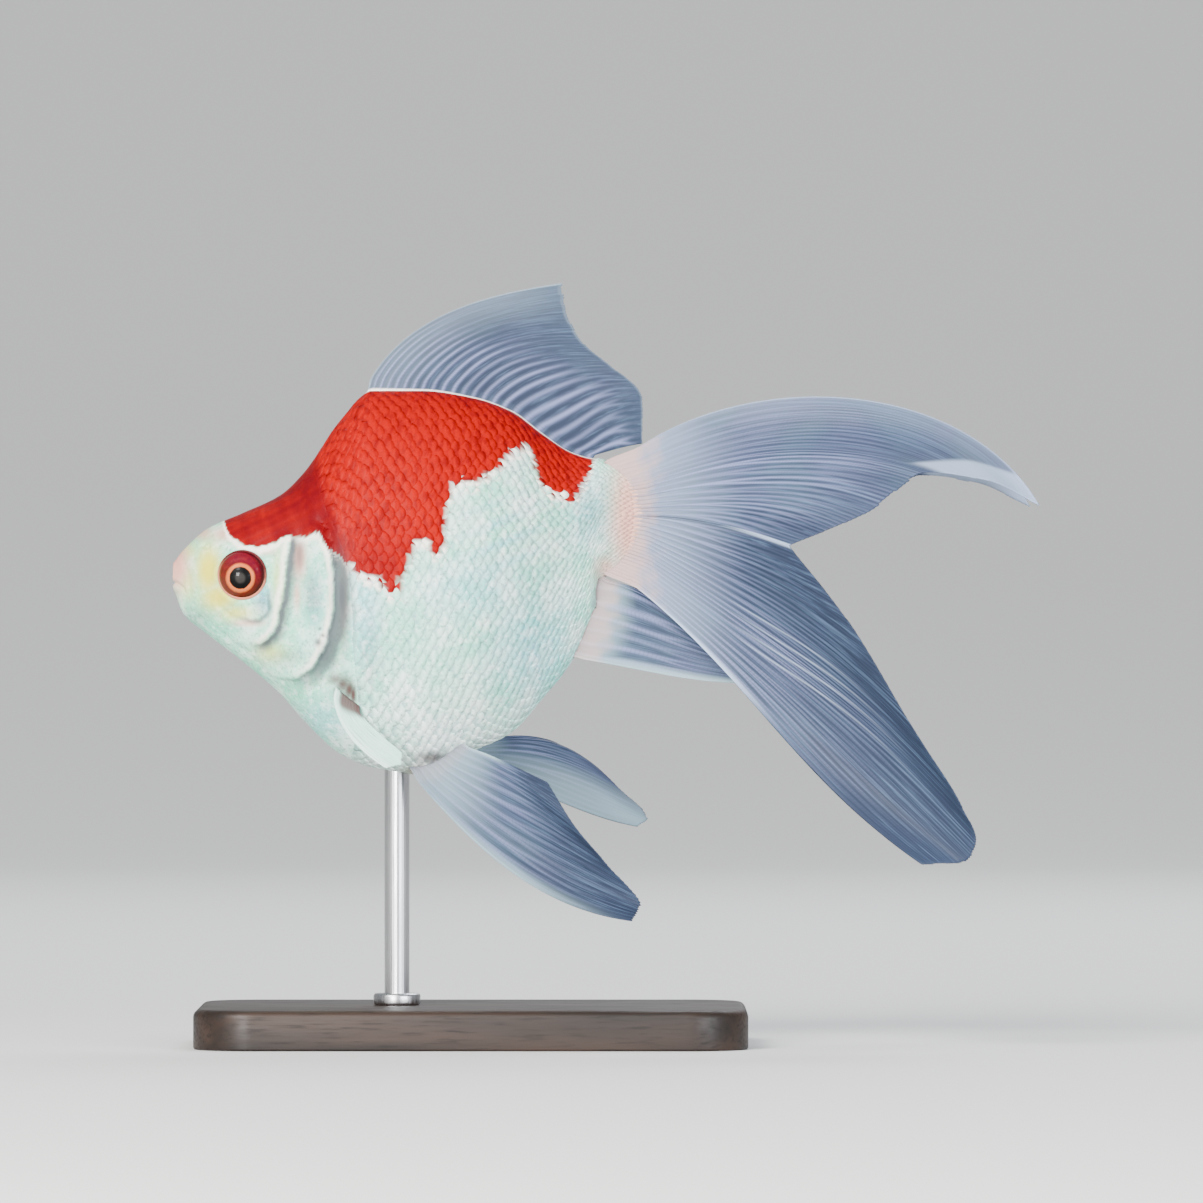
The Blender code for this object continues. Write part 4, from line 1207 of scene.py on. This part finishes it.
def upper_lobe_tints(along, across, places):
    """The upper lobe is paler at its root, darker above the fork, and near its tip has a painted highlight
    where it turns over.
    """
    x = places[:, 0]
    # Painted highlight where the margin near the tip turns over and faces up to the light
    fold = ramp(along, 0.9, 0.925) * ramp(across, 0.5, 0.42)
    fork = ramp(across, 0.992, 1.0) * ramp(along, 0.5, 0.8)
    front = np.maximum(0.6 * ramp(across, 0.02, 0.0), 0.16 * ramp(across, 0.3, 0.0))
    pale = np.maximum.reduce([0.65 * fold, fork, front, 0.4 * ramp(x, 116, 94)])
    wedge = hill(across, 0.9, 0.06) * ramp(along, 0.3, 0.6)
    tip = ramp(along, 0.72, 0.86) * ramp(across, 0.36, 0.5)
    dark = np.clip(0.6 * wedge + 0.3 * ramp(along, 0.4, 0.8) * (1 - fold) * across + 0.3 * tip, 0, 1)
    lines = (0.3 + 0.7 * ramp(along, 1.0, 0.5)) * (0.4 + 0.6 * ramp(across, 0.2, 0.6))
    return pale, dark, root_flesh(*places.T), lines


BRIGHT_RAYS = ((0.60, 0.05, 0.009), (0.50, 0.03, 0.007), (0.69, 0.04, 0.006), (0.42, 0.02, 0.005))


def lower_lobe_tints(along, across, places):
    """The lower lobe has a white front hem by the body, a few bright rays and a dark tip."""
    x = places[:, 0]
    front = 0.95 * ramp(across, 0.955, 0.99) * ramp(along, 0.55, 0.3)
    fork = 0.8 * ramp(across, 0.012, 0.0) * ramp(along, 0.4, 0.9)
    pale = np.maximum.reduce([front, fork, 0.4 * ramp(x, 116, 94)])
    for middle, bend, width in BRIGHT_RAYS:
        streak = hill(across - bend * np.sin(7 * along), middle, width)
        pale = np.maximum(pale, 0.45 * streak * ramp(along, 0.22, 0.4) * ramp(along, 0.85, 0.5))
    dark = 0.68 * ramp(along, 0.12, 0.4) + 0.25 * ramp(along, 0.4, 0.9) + 0.07 * ramp(across, 0.5, 0.1)
    return pale, dark, root_flesh(*places.T), 0.1 + 0.7 * ramp(along, 0.85, 0.25)


def anal_tints(along, across, places):
    """The anal fins are pink at the root, with bright rays there, and pale along their lower edge."""
    pale = np.maximum(0.8 * ramp(across, 0.14, 0.0), 0.45 * ramp(along, 0.3, 0.1))
    dark = 0.85 * ramp(across, 0.25, 0.8) * ramp(along, 0.12, 0.3) * ramp(along, 1.2, 0.5)
    pink = 0.5 * ramp(along + 0.05 * ripple(*places.T, 4.0), 0.22, 0.03)
    return pale, dark, pink, 0.3 + 0.7 * ramp(along, 0.9, 0.2)


def pelvic_left_tints(along, across, places):
    """The near pelvic fin has a pale hem at both edges near its root, and darkens to its tip."""
    front = 0.6 * ramp(across, 0.1, 0.0) * ramp(along, 1.0, 0.5)
    rear = 0.85 * ramp(across, 0.93, 1.0) * ramp(along, 0.55, 0.25)
    pale = np.maximum.reduce([front, rear, 0.4 * ramp(along, 0.4, 0.05)])
    dark = np.clip(ramp(along, 0.35, 0.8) + 0.3 * ramp(across, 0.5, 1.0) * ramp(along, 0.3, 0.6), 0, 1)
    return pale, dark, 0.2 * ramp(along, 0.1, 0.0), 0.1 + 0.6 * ramp(along, 0.8, 0.3)


def pelvic_right_tints(along, across, places):
    """The far pelvic fin is paler and greener, and dark along its upper edge."""
    pale = np.maximum(0.45 * ramp(across, 0.6, 0.1), 0.6 * ramp(along, 0.35, 0.05))
    dark = 0.5 + 0.45 * ramp(across, 0.6, 1.0) * ramp(along, 0.2, 0.6)
    return pale, dark, 0.0 * along, 0.15 + 0.5 * ramp(along, 0.9, 0.4)


def pectoral_tints(along, across, places):
    """The pectoral fins are as pale as the body, with brown pink flesh at the root, darkest at the rear."""
    dark = 0.9 * ramp(along, 0.3, 0.12) * ramp(across, 0.7, 0.9)
    root = 0.95 * ramp(along, 0.24, 0.08) * ramp(across, 0.05, 0.3)
    return 0.3 * ramp(across, 0.2, 0.0), dark, root, 0.3 + 0.0 * along


class GOLDFISH_OT_dorsal_fin(bpy.types.Operator):
    """Makes the high dorsal fin with its curved rays"""

    bl_idname = "goldfish.dorsal_fin"
    bl_label = "Dorsal fin"

    def execute(self, context):
        settings = context.scene.goldfish_fins
        # The very root of the dorsal fin is cream white, a painted highlight along its base
        tints = {"root": linear("#FFF8F0"), "pale": linear("#8696A2")}
        shade = fin_material("dorsal_fin_skin", settings, fibre=0.4, **tints)
        looks = {
            "count": 23, "splits": (0.5, 0.78), "crowd": 0.8, "around": 320, "out": 96, "length": 45.0,
            "tints": dorsal_tints, "swell": flat_swell, "notch": 0.012, "seed": 0.4, "waves": 0.6,
        }
        make_fin("dorsal_fin_skin", ("dorsal_fin",), DORSAL_FIN, -1, shade, settings, looks)
        return {"FINISHED"}


class GOLDFISH_OT_tail(bpy.types.Operator):
    """Makes the four lobes of the double tail"""

    bl_idname = "goldfish.tail"
    bl_label = "Tail"

    def execute(self, context):
        settings = context.scene.goldfish_fins
        shade = fin_material("tail_fin_skin", settings)
        common = {"splits": (0.2, 0.6), "out": 120, "notch": 0.007}
        upper = {**common, "count": 17, "around": 330, "length": 70.0, "rear_hem": 0.5}
        lower = {**common, "count": 19, "around": 340, "length": 80.0, "front_hem": 0.5}
        upper["tints"], lower["tints"] = upper_lobe_tints, lower_lobe_tints
        # The lobes swell most away from the fork, where the two meet
        upper["swell"] = lambda across: 1.2 * ramp(across, 1.0, 0.85)
        lower["swell"] = lambda across: 1.2 * ramp(across, 0.0, 0.15)
        for side_name, side in (("left", -1), ("right", 1)):
            for lobe, rays, top, foot, looks, seed in (
                ("upper", UPPER_LOBE, TAIL_ROOT_TOP, TAIL_ROOT_FORK, upper, 1.1),
                ("lower", LOWER_LOBE, TAIL_ROOT_FORK, TAIL_ROOT_FOOT, lower, 2.3),
            ):
                shape = {"rays": rays, "top": top, "foot": foot, "sunk": 3.0}
                name = f"tail_{side_name}_{lobe}"
                looks = {**looks, "seed": seed + side}
                make_fin(f"{name}_skin", (f"{name}_lobe",), shape, side, shade, settings, looks)
        return {"FINISHED"}


class GOLDFISH_OT_paired_fins(bpy.types.Operator):
    """Makes the pectoral, pelvic and anal fins"""

    bl_idname = "goldfish.paired_fins"
    bl_label = "Paired fins"

    def execute(self, context):
        settings = context.scene.goldfish_fins
        skin = context.scene.goldfish_skin
        slate = fin_material("paired_fin_skin", settings, pale=linear("#8FA8B0"))
        tints = dict.fromkeys(("membrane", "green", "lilac", "streak"), settings.clear)
        tints.update(root=skin.rust, ray=skin.warm, pale=skin.white, shade=skin.grey)
        pearly = fin_material("clear_pectoral_skin", settings, **tints)
        keys = ("count", "splits", "around", "out", "length", "notch", "waves")
        pelvic = dict(zip(keys, (9, (0.3, 0.6), 180, 84, 46.0, 0.016, 1.0)))
        anal = dict(zip(keys, (8, (0.35, 0.7), 130, 64, 28.0, 0.016, 0.3)))
        pectoral = dict(zip(keys, (9, (0.5,), 100, 44, 14.0, 0.02, 0.2)))
        fins = (
            ("pelvic_fin_left", -1, PELVIC_FIN_LEFT, slate, pelvic, pelvic_left_tints, 0.7),
            ("pelvic_fin_right", 1, PELVIC_FIN_RIGHT, slate, pelvic, pelvic_right_tints, 1.9),
            ("anal_fin_left", -1, ANAL_FIN, slate, anal, anal_tints, 0.2),
            ("anal_fin_right", 1, ANAL_FIN, slate, anal, anal_tints, 3.1),
            ("pectoral_fin_left", -1, PECTORAL_FIN_LEFT, pearly, pectoral, pectoral_tints, 0.9),
            ("pectoral_fin_right", 1, PECTORAL_FIN_RIGHT, pearly, pectoral, pectoral_tints, 2.9),
        )
        for name, side, shape, shade, looks, tints, seed in fins:
            looks = {**looks, "tints": tints, "seed": seed, "swell": flat_swell}
            make_fin(f"{name}_skin", (name,), shape, side, shade, settings, looks)
        return {"FINISHED"}


# ------------------------------------------------------------------------------
# The eyes
# ------------------------------------------------------------------------------
LENS_EDGE, PUPIL_EDGE, GOLD_EDGE = 0.17, 0.45, 0.59  # shares of the eye's radius
PUPIL_AHEAD, PUPIL_BELOW = 0.07, 0.13  # how far the pupil is off the eye's middle, as shares of its radius
EYE_SUNK = 0.18  # how far the eyeball lies inside its solid
RIM_RADIUS = 0.26  # of the fold of skin round the eye, in section
ROLLED = Matrix.Rotation(math.pi / 2, 3, "X")  # stands the section of the fold upright, ready to be spun


def eye_material(settings):
    """A fish's eye under its clear, wet cornea: a crimson iris, a bright gold ring and a black pupil.

    The cornea gives small sharp highlights, and the iris is mottled with fine flecks of red.
    """
    cornea = {"Coat_Weight": 0.18, "Coat_Roughness": 0.03, "Coat_IOR": 1.376}
    made, tree, shader = material("wet_eye", IOR=1.376, Specular_IOR_Level=0.1, Roughness=0.4, **cornea)
    ring = node(tree, "ShaderNodeAttribute", attribute_name="ring").outputs["Fac"]
    height = node(tree, "ShaderNodeAttribute", attribute_name="height").outputs["Fac"]
    place = node(tree, "ShaderNodeTexCoord").outputs["Object"]
    fine = {"Vector": place, "Scale": 1 / 0.0008, "Detail": 3.0}
    threads = node(tree, "ShaderNodeTexNoise", fine).outputs[0]
    uneven = node(tree, "ShaderNodeMapRange", {0: threads, 1: 0.0, 2: 1.0, 3: -0.03, 4: 0.03}).outputs[0]
    radius = node(tree, "ShaderNodeMath", {0: ring, 1: uneven}, operation="ADD").outputs[0]
    iris = layered(tree, settings.brown, (
        (height, (-0.5, 0.5, 1.0), settings.crimson),
        (threads, (0.35, 0.75, 0.5), linear("#7A1C1C")),
    ))
    # The grey middle of the pupil is a painted reflection on the lens
    base = layered(tree, settings.lens, (
        (radius, (LENS_EDGE, LENS_EDGE + 0.1, 1.0), settings.pupil),
        (radius, (PUPIL_EDGE, PUPIL_EDGE + 0.04, 1.0), settings.gold),
        (radius, (GOLD_EDGE, GOLD_EDGE + 0.07, 1.0), iris),
    ))
    tree.links.new(base, shader.inputs["Base Color"])
    return made


def rim_material(settings):
    """The fold of wet skin round the eye: dark crimson above, peach pink below, where it is thin."""
    wet = {"Coat_Weight": 0.1, "Coat_Roughness": 0.15, "Coat_IOR": 1.36}
    made, tree, shader = material("eye_rim_skin", IOR=1.38, Specular_IOR_Level=0.2, Roughness=0.4, **wet)
    place = node(tree, "ShaderNodeTexCoord").outputs["Object"]
    coarse = {"Vector": place, "Scale": 1 / 0.0016, "Detail": 3.0}
    blotches = node(tree, "ShaderNodeTexNoise", coarse).outputs[0]
    height = node(tree, "ShaderNodeAttribute", attribute_name="height").outputs["Fac"]
    level = node(tree, "ShaderNodeMath", {0: height, 1: blotches}, operation="SUBTRACT").outputs[0]
    base = layered(tree, settings.rim, ((level, (0.1, -0.9, 1.0), linear("#B87058")),))
    tree.links.new(base, shader.inputs["Base Color"])
    return made


class GOLDFISH_OT_eyes(bpy.types.Operator):
    """Makes the eyes, each with a fold of skin round it"""

    bl_idname = "goldfish.eyes"
    bl_label = "Eyes"

    def execute(self, context):
        settings = context.scene.goldfish_eyes
        shade, rim_shade = eye_material(settings), rim_material(settings)
        for side_name, side in (("left", -1), ("right", 1)):
            middle, half = eye_place(side_name)
            bm = bmesh.new()
            bmesh.ops.create_uvsphere(bm, u_segments=72, v_segments=56, radius=1.0)
            mesh = mesh_of(f"eyeball_{side_name}", bm)
            unit = coordinates(mesh)
            ring = np.hypot(unit[:, 0] + PUPIL_AHEAD, unit[:, 1] + PUPIL_BELOW)
            front = unit[:, 2] > 0
            # The gold ring stands out a little, and the iris sinks in round it
            relief = 0.10 * hill(ring, 0.56, 0.06)
            relief = relief - 0.12 * hill(ring, 0.76, 0.09)
            out = unit[:, 2] * half[1] - EYE_SUNK + relief * front
            places = np.stack([unit[:, 0] * half[0], side * out, unit[:, 1] * half[2]], axis=-1) + middle
            set_attribute(mesh, "ring", np.where(front, ring, 1.0), "FLOAT")
            set_attribute(mesh, "height", unit[:, 1] + 0.5 * unit[:, 0], "FLOAT")
            set_coordinates(mesh, to_packed(places))
            turned_out(mesh)
            piece(f"eyeball_{side_name}", mesh, shade, (f"eye_{side_name}",))

            bm = bmesh.new()
            circle = bmesh.ops.create_circle(bm, segments=16, radius=RIM_RADIUS)
            bmesh.ops.rotate(bm, verts=circle["verts"], cent=(0, 0, 0), matrix=ROLLED)
            bmesh.ops.translate(bm, verts=circle["verts"], vec=(half[0] + 0.1, 0, 0))
            turn = {"cent": (0, 0, 0), "axis": (0, 0, 1), "angle": 2 * math.pi, "steps": 96}
            bmesh.ops.spin(bm, geom=bm.verts[:] + bm.edges[:], use_merge=True, **turn)
            mesh = mesh_of(f"eye_rim_{side_name}", bm)
            ring = coordinates(mesh)
            x, z = middle[0] + ring[:, 0], middle[2] + ring[:, 1]
            turn = np.arctan2(ring[:, 1], ring[:, 0])
            middle_x, middle_z = middle[0] + half[0] * np.cos(turn), middle[2] + half[2] * np.sin(turn)
            stand = body_side(middle_x, middle_z) + 0.05 + ring[:, 2]
            set_attribute(mesh, "height", np.sin(turn) + 0.3 * np.cos(turn), "FLOAT")
            set_coordinates(mesh, to_packed(np.stack([x, side * stand, z], axis=-1)))
            turned_out(mesh)
            piece(f"eye_rim_{side_name}", mesh, rim_shade)
        return {"FINISHED"}


# ------------------------------------------------------------------------------
# The stand and the stage
# ------------------------------------------------------------------------------
BASE_CORNER, BASE_TOP_EDGE, BASE_FOOT_EDGE = 0.012, 0.0016, 0.0005  # metres, as all of the stand and stage
COLLAR_WIDTH, COLLAR_HEIGHT, COLLAR_EDGE = 0.0022, 0.0024, 0.0006
FLOOR_HALF, WALL_HEIGHT, WALL_BEND = 4.0, 3.0, 2.4
FLOOR_REACH = 8.0  # how many times farther the floor runs on to the sides and the front
PICTURE_MIDDLE = (85.9, 0.0, -4.3)  # in the fish's frame
LAMPS = (
    # name, place and aim from the middle of the picture, size, power, tint
    ("key", (-0.7, -1.35, 0.95), (0, 0, 0), 0.9, 66.0, "#FFFCF8"),
    ("fill", (0.95, -1.3, 0.1), (0, 0, 0), 0.9, 48.0, "#F4F8FF"),
    ("front", (-0.5, -1.4, 0.06), (0, 0, 0), 0.28, 26.0, "#FFFFFF"),
    ("rim", (0.4, 1.0, 1.1), (0, 0, 0), 0.8, 20.0, "#F4F8FF"),
    ("backdrop", (0.0, 0.9, 1.7), (0, 3.6, 0.7), 1.2, 16.0, "#FFFFFF"),
)


def rounded(bm, edges, offset, segments):
    """Rounds edges off."""
    settings = {"segments": segments, "affect": "EDGES", "profile": 0.5, "material": -1}
    bmesh.ops.bevel(bm, geom=edges, offset=offset, **settings)


def wood_material(settings):
    """Stained and lacquered hardwood: dark brown, with grain about 3 mm wide that runs along the base."""
    lacquer = {"Coat_Weight": 0.08, "Coat_Roughness": 0.3, "Coat_IOR": 1.5}
    made, tree, shader = material("stained_hardwood", IOR=1.5, Specular_IOR_Level=0.25, **lacquer)
    place = node(tree, "ShaderNodeTexCoord").outputs["Object"]
    drawn = node(tree, "ShaderNodeMapping", {"Vector": place, "Scale": (0.09, 1.0, 1.0)}).outputs[0]
    warp, pores = [
        node(tree, "ShaderNodeTexNoise", {"Vector": drawn, "Scale": 1 / size, "Detail": detail}).outputs[0]
        for size, detail in ((0.006, 4.0), (0.0007, 2.0))
    ]
    base = layered(tree, settings.wood, (
        (warp, (0.36, 0.64, 1.0), settings.grain),
        (pores, (0.55, 0.7, 0.6), linear("#0C0806")),
    ))
    tree.links.new(base, shader.inputs["Base Color"])
    gloss = node(tree, "ShaderNodeMapRange", {0: pores, 1: 0.4, 2: 0.7, 3: 0.46, 4: 0.62}).outputs[0]
    tree.links.new(gloss, shader.inputs["Roughness"])
    relief = node(tree, "ShaderNodeBump", {"Strength": 0.25, "Distance": 0.0001, "Height": pores})
    tree.links.new(relief.outputs[0], shader.inputs["Normal"])
    return made


def steel_material(settings):
    """Stainless steel, drawn and wiped with fine abrasive: a soft gloss with lines along the rod."""
    made, tree, shader = material("satin_steel", Metallic=1.0, Base_Color=(*settings.steel, 1.0))
    place = node(tree, "ShaderNodeTexCoord").outputs["Object"]
    drawn = node(tree, "ShaderNodeMapping", {"Vector": place, "Scale": (1.0, 1.0, 0.03)}).outputs[0]
    scratches = {"Vector": drawn, "Scale": 1 / 0.0004, "Detail": 2.0}
    lines = node(tree, "ShaderNodeTexNoise", scratches).outputs[0]
    gloss = node(tree, "ShaderNodeMapRange", {0: lines, 1: 0.3, 2: 0.7, 3: 0.24, 4: 0.42}).outputs[0]
    tree.links.new(gloss, shader.inputs["Roughness"])
    return made


class GOLDFISH_OT_stand(bpy.types.Operator):
    """Finishes the plain stand and adds the collar at the foot of its rod"""

    bl_idname = "goldfish.stand"
    bl_label = "Stand"

    def execute(self, context):
        settings = context.scene.goldfish_stand
        wood, steel = wood_material(settings), steel_material(settings)
        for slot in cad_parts["stand_rod"].material_slots:
            slot.material = steel
        low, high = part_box("stand_base")
        base_top = high.z
        bm = bmesh.new()
        bmesh.ops.create_cube(bm, size=1.0)
        bmesh.ops.scale(bm, verts=bm.verts, vec=high - low)
        bmesh.ops.translate(bm, verts=bm.verts, vec=(low + high) / 2)
        edges = [e for e in bm.edges if abs(e.verts[0].co.z - e.verts[1].co.z) > 0.001]
        rounded(bm, edges, BASE_CORNER, 24)
        for level, offset in ((high.z, BASE_TOP_EDGE), (low.z, BASE_FOOT_EDGE)):
            edges = [e for e in bm.edges if max(abs(v.co.z - level) for v in e.verts) < 1e-5]
            rounded(bm, edges, offset, 5)
        base = piece("stand_base_wood", mesh_of("stand_base_wood", bm), wood, ("stand_base",))
        base.data.set_sharp_from_angle(angle=math.radians(35))
        low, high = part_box("stand_rod")
        middle, radius = (low + high) / 2, (high.x - low.x) / 2
        bm = bmesh.new()
        size = {"radius1": radius + COLLAR_WIDTH, "radius2": radius + COLLAR_WIDTH, "depth": COLLAR_HEIGHT}
        bmesh.ops.create_cone(bm, cap_ends=True, segments=64, **size)
        rounded(bm, [e for e in bm.edges if abs(e.verts[0].co.z - e.verts[1].co.z) < 1e-6], COLLAR_EDGE, 3)
        bmesh.ops.translate(bm, verts=bm.verts, vec=(middle.x, middle.y, base_top + COLLAR_HEIGHT / 2))
        collar = piece("stand_collar", mesh_of("stand_collar", bm), steel)
        collar.data.set_sharp_from_angle(angle=math.radians(35))
        return {"FINISHED"}


class GOLDFISH_OT_stage(bpy.types.Operator):
    """Sets the plain pale floor, the soft lights and the camera"""

    bl_idname = "goldfish.stage"
    bl_label = "Stage"

    def execute(self, context):
        settings = context.scene.goldfish_stage
        bm = bmesh.new()
        bmesh.ops.create_grid(bm, x_segments=1, y_segments=1, size=FLOOR_HALF)
        back = [e for e in bm.edges if all(v.co.y > FLOOR_HALF - 0.1 for v in e.verts)]
        raised_edge = bmesh.ops.extrude_edge_only(bm, edges=back)["geom"]
        wall_top = [v for v in raised_edge if isinstance(v, bmesh.types.BMVert)]
        bmesh.ops.translate(bm, verts=wall_top, vec=(0, 0, WALL_HEIGHT))
        bend = [e for e in bm.edges if all(v.co.y > FLOOR_HALF - 0.1 and v.co.z < 0.1 for v in e.verts)]
        rounded(bm, bend, WALL_BEND, 32)
        # Only the curved wall stays near, and the floor's other edges are past what any view shows
        for v in bm.verts:
            v.co.x *= FLOOR_REACH
            v.co.y *= FLOOR_REACH if v.co.y < 0 else 1.0
        mesh = mesh_of("floor", bm)
        floor = bpy.data.objects.new("floor", mesh)
        context.scene.collection.objects.link(floor)
        shade, tree, shader = material("matt_paper_floor", Roughness=0.9, IOR=1.45)
        place = node(tree, "ShaderNodeTexCoord").outputs["Object"]
        pulp = {"Vector": place, "Scale": 900.0, "Detail": 2.0}
        fibre = node(tree, "ShaderNodeTexNoise", pulp).outputs[0]
        base = layered(tree, settings.floor, ((fibre, (0.3, 0.7, 0.12), linear("#CFCFCD")),))
        tree.links.new(base, shader.inputs["Base Color"])
        mesh.materials.append(shade)
        mesh.shade_smooth()

        world = bpy.data.worlds.new("studio")
        context.scene.world = world
        world.use_nodes = True
        background = world.node_tree.nodes["Background"]
        background.inputs[0].default_value = (*linear("#E6EAF0"), 1.0)
        background.inputs[1].default_value = 0.55

        middle = Vector(to_packed(PICTURE_MIDDLE))
        for name, place, aim, size, power, tint in LAMPS:
            lamp = bpy.data.lights.new(name, "AREA")
            lamp.size, lamp.energy, lamp.color = size, power, linear(tint)
            holder = bpy.data.objects.new(name, lamp)
            holder.location = middle + Vector(place)
            towards = middle + Vector(aim) - holder.location
            holder.rotation_euler = towards.to_track_quat("-Z", "Y").to_euler()
            context.scene.collection.objects.link(holder)

        lens = bpy.data.cameras.new("camera")
        lens.sensor_width = 36.0
        lens.lens = lens.sensor_width * settings.distance / settings.width
        lens.clip_end = 20.0
        camera = bpy.data.objects.new("camera", lens)
        camera.location = middle + Vector((0, -settings.distance, 0))
        camera.rotation_euler = (math.pi / 2, 0, 0)
        context.scene.collection.objects.link(camera)
        context.scene.camera = camera
        return {"FINISHED"}


class GOLDFISH_PT_panel(bpy.types.Panel):
    bl_idname = "GOLDFISH_PT_panel"
    bl_label = "Goldfish"
    bl_space_type = "VIEW_3D"
    bl_region_type = "UI"
    bl_category = "Goldfish"

    def draw(self, context):
        for name, operators in GROUPS:
            box = self.layout.box()
            box.label(text=name.capitalize())
            settings = getattr(context.scene, f"goldfish_{name}")
            for key in type(settings).__annotations__:
                box.prop(settings, key)
            for operator in operators:
                box.operator(operator.bl_idname)


GROUPS = (
    ("skin", (GOLDFISH_OT_skin,)),
    ("scales", (GOLDFISH_OT_scales,)),
    ("eyes", (GOLDFISH_OT_eyes,)),
    ("fins", (GOLDFISH_OT_dorsal_fin, GOLDFISH_OT_tail, GOLDFISH_OT_paired_fins)),
    ("stand", (GOLDFISH_OT_stand,)),
    ("stage", (GOLDFISH_OT_stage,)),
)
SETTINGS = {
    "skin": GOLDFISH_PG_skin,
    "scales": GOLDFISH_PG_scales,
    "eyes": GOLDFISH_PG_eyes,
    "fins": GOLDFISH_PG_fins,
    "stand": GOLDFISH_PG_stand,
    "stage": GOLDFISH_PG_stage,
}
OPERATORS = [operator for _, operators in GROUPS for operator in operators]


def register():
    for made in (*SETTINGS.values(), *OPERATORS, GOLDFISH_PT_panel):
        bpy.utils.register_class(made)
    for name, made in SETTINGS.items():
        setattr(bpy.types.Scene, f"goldfish_{name}", PointerProperty(type=made))


def unregister():
    for name in SETTINGS:
        delattr(bpy.types.Scene, f"goldfish_{name}")
    for made in reversed((*SETTINGS.values(), *OPERATORS, GOLDFISH_PT_panel)):
        bpy.utils.unregister_class(made)


def main():
    register()
    bpy.ops.goldfish.skin()
    bpy.ops.goldfish.scales()
    bpy.ops.goldfish.eyes()
    bpy.ops.goldfish.dorsal_fin()
    bpy.ops.goldfish.tail()
    bpy.ops.goldfish.paired_fins()
    bpy.ops.goldfish.stand()
    bpy.ops.goldfish.stage()


if __name__ == "__main__":
    main()
